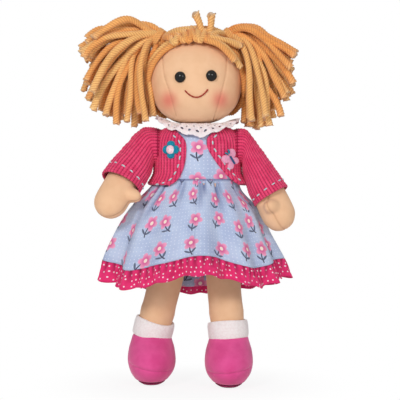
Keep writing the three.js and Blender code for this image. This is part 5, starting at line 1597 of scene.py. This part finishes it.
front_stitches = []
for side, (rows, edge_angle, slope) in front_edges.items():
    inside = np.interp(EDGE_TO_STITCH * np.hypot(1, slope) + wale_at(edge_angle), round_arc, round_angle)
    kept = (inside < 1.15) & (wrap_rise[rows] < TORSO_TOP - 4)
    line = on_wrap(rows[kept], SIDES[side] * inside[kept])
    front_stitches += running(line, unit(line * (1, 1 / DEPTH_SHARE ** 2, 0)), STITCH_EVERY)
stitched("front_running_stitches", front_stitches, "torso", 61)
for side, (tube, outward, gone) in sleeve_tubes.items():
    row = np.searchsorted(gone, gone[-1] - CUFF_TO_STITCH)
    line, lift = (np.concatenate([values[row], values[row, :1]]) for values in (tube, outward))
    stitched(side + "_cuff_stitches", running(line, lift, CUFF_STITCH_EVERY), side + "_arm", 62)

# %% [markdown]
# ## Felt flower and butterfly
# Two little felt cut-outs are sewn to the cardigan. A Solidify modifier would leave sharp edges, and felt has
# soft ones, so each outline is carried up and over a rounded rim, and pressed in a little between the petals
# or wings.

# %% Felt cut-outs
FELT_RIM = np.array([
    (0.97, -0.8), (1.0, -0.4), (1.0, 0.45), (0.985, 0.75), (0.94, 0.95), (0.86, 1.05),
    (0.7, 1.05), (0.5, 1.0), (0.3, 0.92), (0.12, 0.85),
])
felt_recipe = {"sheen": 0.5, "scale": 900, "detail": 4, "strength": 0.6, "distance": 0.0004}
teal_felt = matted_finish("teal felt", (30, 152, 178), (14, 116, 144), **felt_recipe)
pink_felt = matted_finish("pink felt", (244, 178, 206), (234, 152, 188), **felt_recipe)
speckled = pebbled_finish("speckled pink", 0.8, 0.3, 1100, 0.15, 0.5, (214, 70, 128), (248, 222, 230), 0.0004)

def on_cardigan(across, level):
    """A place on the cardigan, and a turn that faces out of the cloth there."""
    half = float(torso_at(level) + cardigan_outside(np.array(level)))
    deep = half * DEPTH_SHARE
    y = -deep * math.sqrt(1 - (across / half) ** 2)
    facing = math.atan2(across / half ** 2, -y / deep ** 2)
    c, s = math.cos(facing), math.sin(facing)
    return np.array([across, y, level]), np.array([[c, -s, 0], [s, c, 0], [0, 0, 1]])

def leaned(across, ahead, up, lean):
    x = across * math.cos(lean) + up * math.sin(lean)
    z = -across * math.sin(lean) + up * math.cos(lean)
    return together(x, -ahead, z)

def cut_felt(turn, reach, thickness, press, lean=0.0):
    flat = (np.stack([np.cos(turn), np.sin(turn)], 1) * reach[:, None])[None] * FELT_RIM[:, :1, None]
    rise = FELT_RIM[:, 1, None]
    high = rise * thickness - np.where(rise > 0.6, press[None], 0) * thickness
    return leaned(flat[..., 0], high, flat[..., 1], lean)

print("felt colours are ready")

# %% Flower
FLOWER_RADIUS, FLOWER_THICKNESS, FLOWER_CENTRE, PETALS = 8.2, 2.4, 4.2, 4
FLOWER_ACROSS, FLOWER_BELOW = -24.0, 3.0
felt_turn = full_turn(160)
petal_wave = np.abs(np.cos(PETALS * felt_turn / 2)) ** 0.5
flower_foot, flower_turn = on_cardigan(FLOWER_ACROSS, SHOULDER - FLOWER_BELOW)
petal_reach = FLOWER_RADIUS * (0.54 + 0.46 * petal_wave)
petal_rings = cut_felt(felt_turn, petal_reach, FLOWER_THICKNESS, 0.5 * bell(petal_wave, 0.5))
petals = stuffed("felt_petals", petal_rings @ flower_turn.T + flower_foot, teal_felt)
settle(petals, "torso", "teal_felt", "flower_petals")
bead_turn = np.linspace(0, 0.5 * math.pi - 0.03, 14)
bead = np.stack([FLOWER_CENTRE * np.cos(bead_turn), 1.5 + 2.6 * np.sin(bead_turn)], 1)
bead_rings = rings(np.concatenate([[[FLOWER_CENTRE - 0.3, 0.2]], bead]), 48)
bead_rings = together(bead_rings[..., 0], -bead_rings[..., 2], bead_rings[..., 1])
centre = stuffed("flower_middle", bead_rings @ flower_turn.T + flower_foot, speckled)
settle(centre, "torso", "speckled_pink", "flower_centre")

# %% Butterfly
BUTTERFLY_SPAN, BUTTERFLY_THICKNESS, BUTTERFLY_BODY, BUTTERFLY_LEAN = 21.0, 2.0, 1.1, math.radians(-38)
BUTTERFLY_ACROSS, BUTTERFLY_BELOW = 30.5, 12.5
FEELERS, FEELER_FOOT, FEELER_LONG, FEELER_THREAD = (-2.6, 2.2), 7.2, 3.2, 0.85
WING_WAIST, HIND_WING = 0.34, 0.82
butterfly_foot, butterfly_turn = on_cardigan(BUTTERFLY_ACROSS, SHOULDER - BUTTERFLY_BELOW)
lobe = WING_WAIST + (1 - WING_WAIST) * np.abs(np.sin(2 * felt_turn)) ** 0.8
wing_reach = BUTTERFLY_SPAN / 2 * lobe * np.where(np.sin(felt_turn) < 0, HIND_WING, 1.0)
wing_press = 0.3 * bell(lobe - WING_WAIST, 0.2)
wing_rings = cut_felt(felt_turn, wing_reach, BUTTERFLY_THICKNESS, wing_press, BUTTERFLY_LEAN)
wings = stuffed("felt_wings", wing_rings @ butterfly_turn.T + butterfly_foot, pink_felt)
settle(wings, "torso", "pink_felt", "butterfly_wings")

def by_butterfly(across, ahead, up):
    return leaned(across, ahead, up, BUTTERFLY_LEAN) @ butterfly_turn.T + butterfly_foot

body_ahead = BUTTERFLY_THICKNESS + BUTTERFLY_BODY / 2
body_path = by_butterfly(0, body_ahead, np.linspace(-BUTTERFLY_SPAN / 5, BUTTERFLY_SPAN / 5, 20))
navy_thread = thread_finish("navy thread", (62, 108, 154), (30, 58, 98))
body = spun("butterfly_roll", [body_path], BUTTERFLY_BODY, navy_thread, 3, 4.0, 0.25, 71)
settle(body, "torso", "navy_thread", "butterfly_body")
teal_thread = thread_finish("teal thread", (34, 150, 176), (12, 96, 124))
share = np.linspace(0, 1, 12)
ahead, up = body_ahead - 0.6 + 0.6 * np.sin(3 * share), FEELER_FOOT + FEELER_LONG * share
feeler_paths = [by_butterfly(x * (0.4 + 0.6 * share), ahead, up) for x in FEELERS]
feelers = spun("butterfly_feelers", feeler_paths, FEELER_THREAD, teal_thread, 3, 2.6, 0.25, 72)
settle(feelers, "torso", "teal_felt")

# %% [markdown]
# ## Hair yarn
# The hair is honey-coloured plied yarn about as thick as a pencil. Blender's own hair would be far too fine,
# so the strands are the same spun meshes as the threads. Every strand has its own tone and painted shade
# between its plies, and is paler at its frayed end.

# %% Yarn finishes
YARN = 3.1
yarn = new_finish("hair yarn", 0.9, sheen=0.25, specular=0.15)
along_yarn = wire(yarn, "Mapping", {"Vector": on_cloth(yarn), "Scale": (6.0, 0.8, 1.0)}).outputs[0]
yarn_fibres = noise(yarn, along_yarn, 1.0, 3)
colour = tint(yarn, painted(yarn, "tone"), (249, 170, 94), (255, 207, 134))
colour = tint(yarn, calc(yarn, "MULTIPLY", painted(yarn, "tip"), 0.5), colour, (254, 220, 170))
# Painted shade between the plies, with fibres mixed in.
furrow_shade = calc(yarn, "MULTIPLY_ADD", yarn_fibres, 0.3, calc(yarn, "MULTIPLY", painted(yarn, "groove_shade"), 0.8))
give(yarn, "Base Color", shaded(yarn, furrow_shade, 0.2, 0.95, colour, (192, 104, 50)))
bump(yarn, yarn_fibres, 0.45, 0.0005)
# The backing's darker brown is painted shade for the depth between the strands.
shaded_backing = new_finish("hair backing", 0.95, sheen=0.1, specular=0.1)
matting = noise(shaded_backing, on_object(shaded_backing), 500, 3)
give(shaded_backing, "Base Color", tint(shaded_backing, matting, (204, 126, 68), (156, 86, 42)))
bump(shaded_backing, matting, 0.6, 0.0006)
print("yarn is", 2 * YARN, "mm thick")

# %% [markdown]
# ## Places on the head
# Hair is laid over the head, so its strands are drawn as curves on the head's own form and lifted by their
# thickness; drawn freely in space, they would sink into the head or float. A thin backing fills the cap's
# outline, so that the head doesn't show between the strands, and its darker brown is painted shade there.

# %% Places on the head
HAIRLINE_TILT, HAIRLINE_AHEAD, NAPE_DROP = math.radians(22), 10.3, 33.0
STRAND_POINTS = 60

def over_head(forward, roll, lift=0.0):
    """A place over the head: tilted forward from the crown, then rolled towards the doll's left."""
    f, r = np.radians(forward), np.radians(roll)
    way = together(np.cos(f) * np.sin(r), -np.sin(f), np.cos(f) * np.cos(r))
    return way * (HEAD_HALF + np.asarray(lift, float)[..., None])

def hairline_depth(rise):
    return -(HAIRLINE_AHEAD + rise * math.sin(HAIRLINE_TILT)) / math.cos(HAIRLINE_TILT)

def hairline_forward(roll):
    """How far forward, in degrees, the hairline is at a roll from the crown."""
    level = HEAD_HALF[2] * np.cos(np.radians(roll)) * math.sin(HAIRLINE_TILT)
    f = np.full(np.shape(roll), 0.5)
    for _ in range(30):
        f = np.arcsin((HAIRLINE_AHEAD + level * np.cos(f)) / (HEAD_HALF[1] * math.cos(HAIRLINE_TILT)))
    return np.degrees(f)

def over_skull(knots, lift):
    line = spline(knots, STRAND_POINTS)
    line = line / np.linalg.norm(line / HEAD_HALF, axis=1, keepdims=True)
    way = unit(line)
    return way * (head_reach(way) + np.asarray(lift))[:, None]

ways = globe(-0.9, 0.5 * math.pi - 0.02, 90, 160)
skull = ways * (head_reach(ways) + 1.2)[..., None]
middles = quad_middles(skull, True)
ahead_of_hair = (hairline_depth(middles[..., 2]) - middles[..., 1]) * math.cos(HAIRLINE_TILT)
bare = (ahead_of_hair > -3.5) | (middles[..., 2] < 4.6 - NAPE_DROP)
backing = cloth("hair_backing", on_neck(skull), 0.8, shaded_backing, True, on_neck(np.zeros(3)), holes=bare)
settle(backing, "head", "hair_yarn")

# %% [markdown]
# ## Hair cap
# Strands run from the middle parting to the two ties, and from the face and the nape up to them, as hair does
# when it is pulled into bunches. One carved shell would be simpler, but its grooves would stay the same from
# every side; separate strands overlap and leave real gaps.

# %% Hair cap
BUNCH_ROLL = 41.0
PARTING = np.arange(37, -128, -6.6)
FACE_FEET, SIDE_FEET, NAPE_LEVEL = (112, 127), ((2, -27.5), (3, -28), (4, -28)), 28.2
to_the_tie = np.linspace(0, 1, STRAND_POINTS) ** 3
nape_ring = math.sqrt(1 - (NAPE_LEVEL / HEAD_HALF[2]) ** 2)
draw = np.random.default_rng(81)
cap_paths = []

def lay_strand(start, tie, lift):
    cap_paths.append(over_skull([start, (start + tie) / 2, tie], lift))

for forward in PARTING:
    for sign in (1, -1):
        tie = over_head(0.0, sign * (BUNCH_ROLL - 5)) + (0, -4 * math.sin(math.radians(forward)), 0)
        lay_strand(over_head(forward, sign * 1.5), tie, YARN + 0.4 * draw.uniform() + to_the_tie * 4.5)
for sign in (1, -1):
    for i, foot in enumerate(FACE_FEET):
        rolls = np.linspace(foot, 14 + 3 * i, 12)
        knots = over_head(hairline_forward(rolls) - 3.5 - 8.5 * i, sign * rolls)
        cap_paths.append(over_skull(knots, np.full(STRAND_POINTS, YARN - 0.2 + 0.8 * i)))
    for i, foot in SIDE_FEET:
        rises = np.linspace(foot, 25, 6)
        deep = hairline_depth(rises) + 2.2 + 5.6 * i
        inside = 1 - (rises / HEAD_HALF[2]) ** 2 - (deep / HEAD_HALF[1]) ** 2
        knots = np.stack([sign * HEAD_HALF[0] * np.sqrt(np.maximum(inside, 0.05)), deep, rises], 1)
        lift = YARN - 0.2 + 0.5 * draw.uniform() + to_the_tie * 5
        cap_paths.append(over_skull([*knots, over_head(0.0, sign * (BUNCH_ROLL - 1))], lift))
    for share in np.linspace(0, 1, 12):
        angle = 0.42 + 1.13 * share
        start = HEAD_HALF * nape_ring * (sign * math.cos(angle), math.sin(angle), 0) - (0, 0, NAPE_LEVEL)
        tie = over_head(-6 - 8 * share, sign * (BUNCH_ROLL + 6))
        lay_strand(start, tie, YARN + 0.4 * draw.uniform() + to_the_tie * 4.5)
    for share in (0.3, 0.75):
        tie = over_head(-4 - 9 * share, sign * (BUNCH_ROLL - 4 + 9 * share))
        lay_strand(over_head(-130 - 4 * share, sign * 2.0), tie, YARN + 0.9 + to_the_tie * 4.5)

def pinched(gone, length):
    return (1 - 0.3 * smooth(gone, length - 14, length)) * (0.55 + 0.45 * smooth(gone, 0, 6))

cap = spun("hair_strands", [on_neck(path) for path in cap_paths], YARN, yarn, seed=82, size_at=pinched)
settle(cap, "head", "hair_yarn", "hair_cap")

# %% [markdown]
# ## Fringe
# Over the brow a few strands come from each tie and lie across the top of the head. Blunt loops look out from
# under them along the hairline, two cut ends stick up, and three cut strands hang over one temple. An Array
# modifier would space them evenly, like a comb, so each has its own place in a list.

# %% Fringe
HAIR_THICKNESS = 3.4
FRINGE_LIFT = HAIR_THICKNESS + YARN + 0.6
# side it comes from, degrees forward half way and at the end, and where it stops across the head
FROM_TIES = [
    (-1, 12, 12, 3), (-1, 17, 19, -3), (-1, 22, 26, -9), (-1, 26, 31, -18), (-1, 28, 29, -27),
    (1, 10, 10, -2), (1, 15, 18, 5), (1, 20, 25, 10), (1, 25, 30, 20),
]
# place across the head, degrees forward and lean
LOOPS = [
    (-23, 38, -4), (-15.5, 41.5, 2), (-6, 43, -2), (1.5, 42, 2), (9, 43.5, -1), (16, 41, 2), (23, 39, 3),
]
TEMPLE = [
    [(14, -29, 37), (25, -27, 34.5), (34, -22, 32), (42, -17, 28.5)],
    [(17, -31, 33), (27, -29.5, 28), (35, -26, 19), (41, -21, 9.5)],
    [(12, -32, 34), (22, -32, 30), (30, -29.5, 23), (36, -26, 15)],
]
fringe_paths = []
for sign, forward, low, stop in FROM_TIES:
    between = (BUNCH_ROLL - 7 + abs(stop)) / 2
    fringe_paths.append(spline([
        over_head(4.0, sign * (BUNCH_ROLL - 7), FRINGE_LIFT + 1.5),
        over_head(forward * 0.8, sign * between, FRINGE_LIFT + 1.2), over_head(low, stop, FRINGE_LIFT),
    ], 50))
for roll, low, lean in LOOPS:
    fringe_paths.append(spline([
        over_head(20.0, roll - 3.6, FRINGE_LIFT - 0.5), over_head(low - 7, roll - 3.4 + lean * 0.5, FRINGE_LIFT),
        over_head(low, roll + lean, FRINGE_LIFT - 1.0), over_head(low - 7, roll + 3.4 + lean * 0.5, FRINGE_LIFT),
        over_head(20.0, roll + 3.6, FRINGE_LIFT - 0.5),
    ], 50))
fringe_paths += [spline(knots, 40) for knots in TEMPLE]
fringe = spun("fringe_loops", [on_neck(path) for path in fringe_paths], YARN, yarn, seed=84, fray=0.14)
settle(fringe, "head", "hair_yarn", "fringe")

# %% Upright tufts
TUFTS = {"left": (17.0, 12.0), "right": (7.5, -14.0)}
TUFT_LENGTH = 14.0
for side, (roll, lean) in TUFTS.items():
    foot = over_head(24.0, roll, FRINGE_LIFT + 1.0)
    up = np.array([math.sin(math.radians(lean)), -0.15, math.cos(math.radians(lean))])
    knots = [foot - up * 7, foot + up * 4 + (1.2, 0, 0), foot + up * (TUFT_LENGTH + 1.0)]
    tuft = spun(side + "_tuft_end", [on_neck(spline(knots, 40))], YARN + 0.3, yarn, seed=85, fray=0.34)
    settle(tuft, "head", "hair_yarn", "fringe_tuft_" + side)

# %% [markdown]
# ## Bunches
# Each bunch is about fifty cut lengths of yarn, tied in a ring and fanning out. The top ones arch up and out,
# the lower ones fall almost straight. A hair simulation could let them fall, but the ends would land anywhere.
# Every strand is one smooth curve from the tie to its own end, in four layers, with a little chance in each.

# %% One strand of a bunch
BUNCH_STAND, TIE_RING = 6.0, 5.8

def tie_frame(side, sign):
    """The middle of a tie, the way out through it and a way across it."""
    tie = over_head(0.0, sign * BUNCH_ROLL, HAIR_THICKNESS + BUNCH_STAND)
    if side == "right":
        tie = tie + (0, 0, 2.5)
    return tie, np.array([sign * 0.8, 0, 0.6]), np.array([sign * -0.6, 0, 0.8])

def round_tie(tie, flat_way, radius, spin):
    across, deep = (np.asarray(radius * part(spin))[..., None] for part in (np.cos, np.sin))
    return tie + flat_way * across + np.array([0, 1, 0]) * deep

def bunch_path(draw, sign, frame_of_tie, share, end, deep):
    """One cut length of yarn; share is 0 for the topmost and 1 for the lowest."""
    tie, out_way, flat_way = frame_of_tie
    out, up = end * (0.92 + 0.08 * draw.uniform())
    out = out + draw.uniform(-4, 3)
    up = up + draw.uniform(-2, 6)
    spin = draw.uniform(0, 2 * math.pi)
    first = round_tie(tie, flat_way, TIE_RING * math.sqrt(draw.uniform(0.1, 1.0)), spin)
    angle = math.radians(54 - 66 * share + draw.uniform(-8, 8))
    long = 24 - 3 * share + draw.uniform(-4, 4)
    end_deep = deep + draw.uniform(-8.5, 8.5)
    second = first + long * np.array([sign * math.cos(angle), end_deep / 25 * 0.55, math.sin(angle)])
    last = tie + np.array([sign * out, end_deep, up])
    from_last = np.array([sign * (-20 + 24 * share), -end_deep * 0.15, 12 + 30 * share])
    third = last + from_last + draw.normal(0, 3.0, 3)
    t = np.linspace(0, 1, 50)[:, None]
    curve = (1 - t) ** 3 * first + 3 * t * (1 - t) ** 2 * second + 3 * t ** 2 * (1 - t) * third + t ** 3 * last
    wobble = np.sin(t * math.pi) * np.sin(t * draw.uniform(5, 9) + draw.uniform(0, 6)) * 2.0
    return np.concatenate([[first - out_way * 9], curve + wobble * draw.normal(0, 0.8, 3)])

print("bunches stand", BUNCH_STAND, "mm off the cap")

# %% Bunches
# where the strands end, from the topmost to the lowest: out from the tie, and up
BUNCH_ENDS = {
    "right": [
        (59, 0), (73, -7), (71, -20), (69, -33), (70, -52), (58, -67), (50, -77), (38, -80), (24, -82), (11, -78),
    ],
    "left": [
        (65, -20), (57, -33), (57, -48), (57, -57), (50, -65),
        (42, -73), (33, -81), (30, -86), (20, -88), (12, -82),
    ],
}
# how deep each layer ends, and its number of strands
BUNCH_LAYERS = [(-25.0, 11), (-9.0, 12), (8.0, 12), (24.0, 12)]
WRAP_RADIUS, WRAP_TURNS, WRAP_WIDE = 8.8, 3.2, 5.5
for side, ends in BUNCH_ENDS.items():
    sign = SIDES[side]
    draw = np.random.default_rng(91 + sign)
    end_line = spline(ends, 200)
    tie, out_way, flat_way = tie_frame(side, sign)
    paths = []
    for layer, (deep, count) in enumerate(BUNCH_LAYERS):
        for i in range(count):
            share = np.clip((i + 0.5 * (layer % 2) + draw.uniform(-0.3, 0.3)) / (count - 0.5), 0, 1)
            end = end_line[int(share * 199)]
            paths.append(on_neck(bunch_path(draw, sign, (tie, out_way, flat_way), share, end, deep)))
    bunch = spun(side + "_bunch_strands", paths, YARN + 0.15, yarn, seed=92 + sign, fray=0.18)
    settle(bunch, "head", "hair_yarn", side + "_bunch")
    t = np.linspace(0, 1, 160)
    cord = round_tie(tie, flat_way, WRAP_RADIUS, 2 * math.pi * WRAP_TURNS * t)
    cord = cord + out_way * ((t - 0.5) * WRAP_WIDE)[:, None]
    wrapped = spun(side + "_bunch_wrap", [on_neck(cord)], 1.5, yarn, 3, 6.0, 0.6, 95)
    settle(wrapped, "head", "hair_yarn", side + "_bunch_tie")
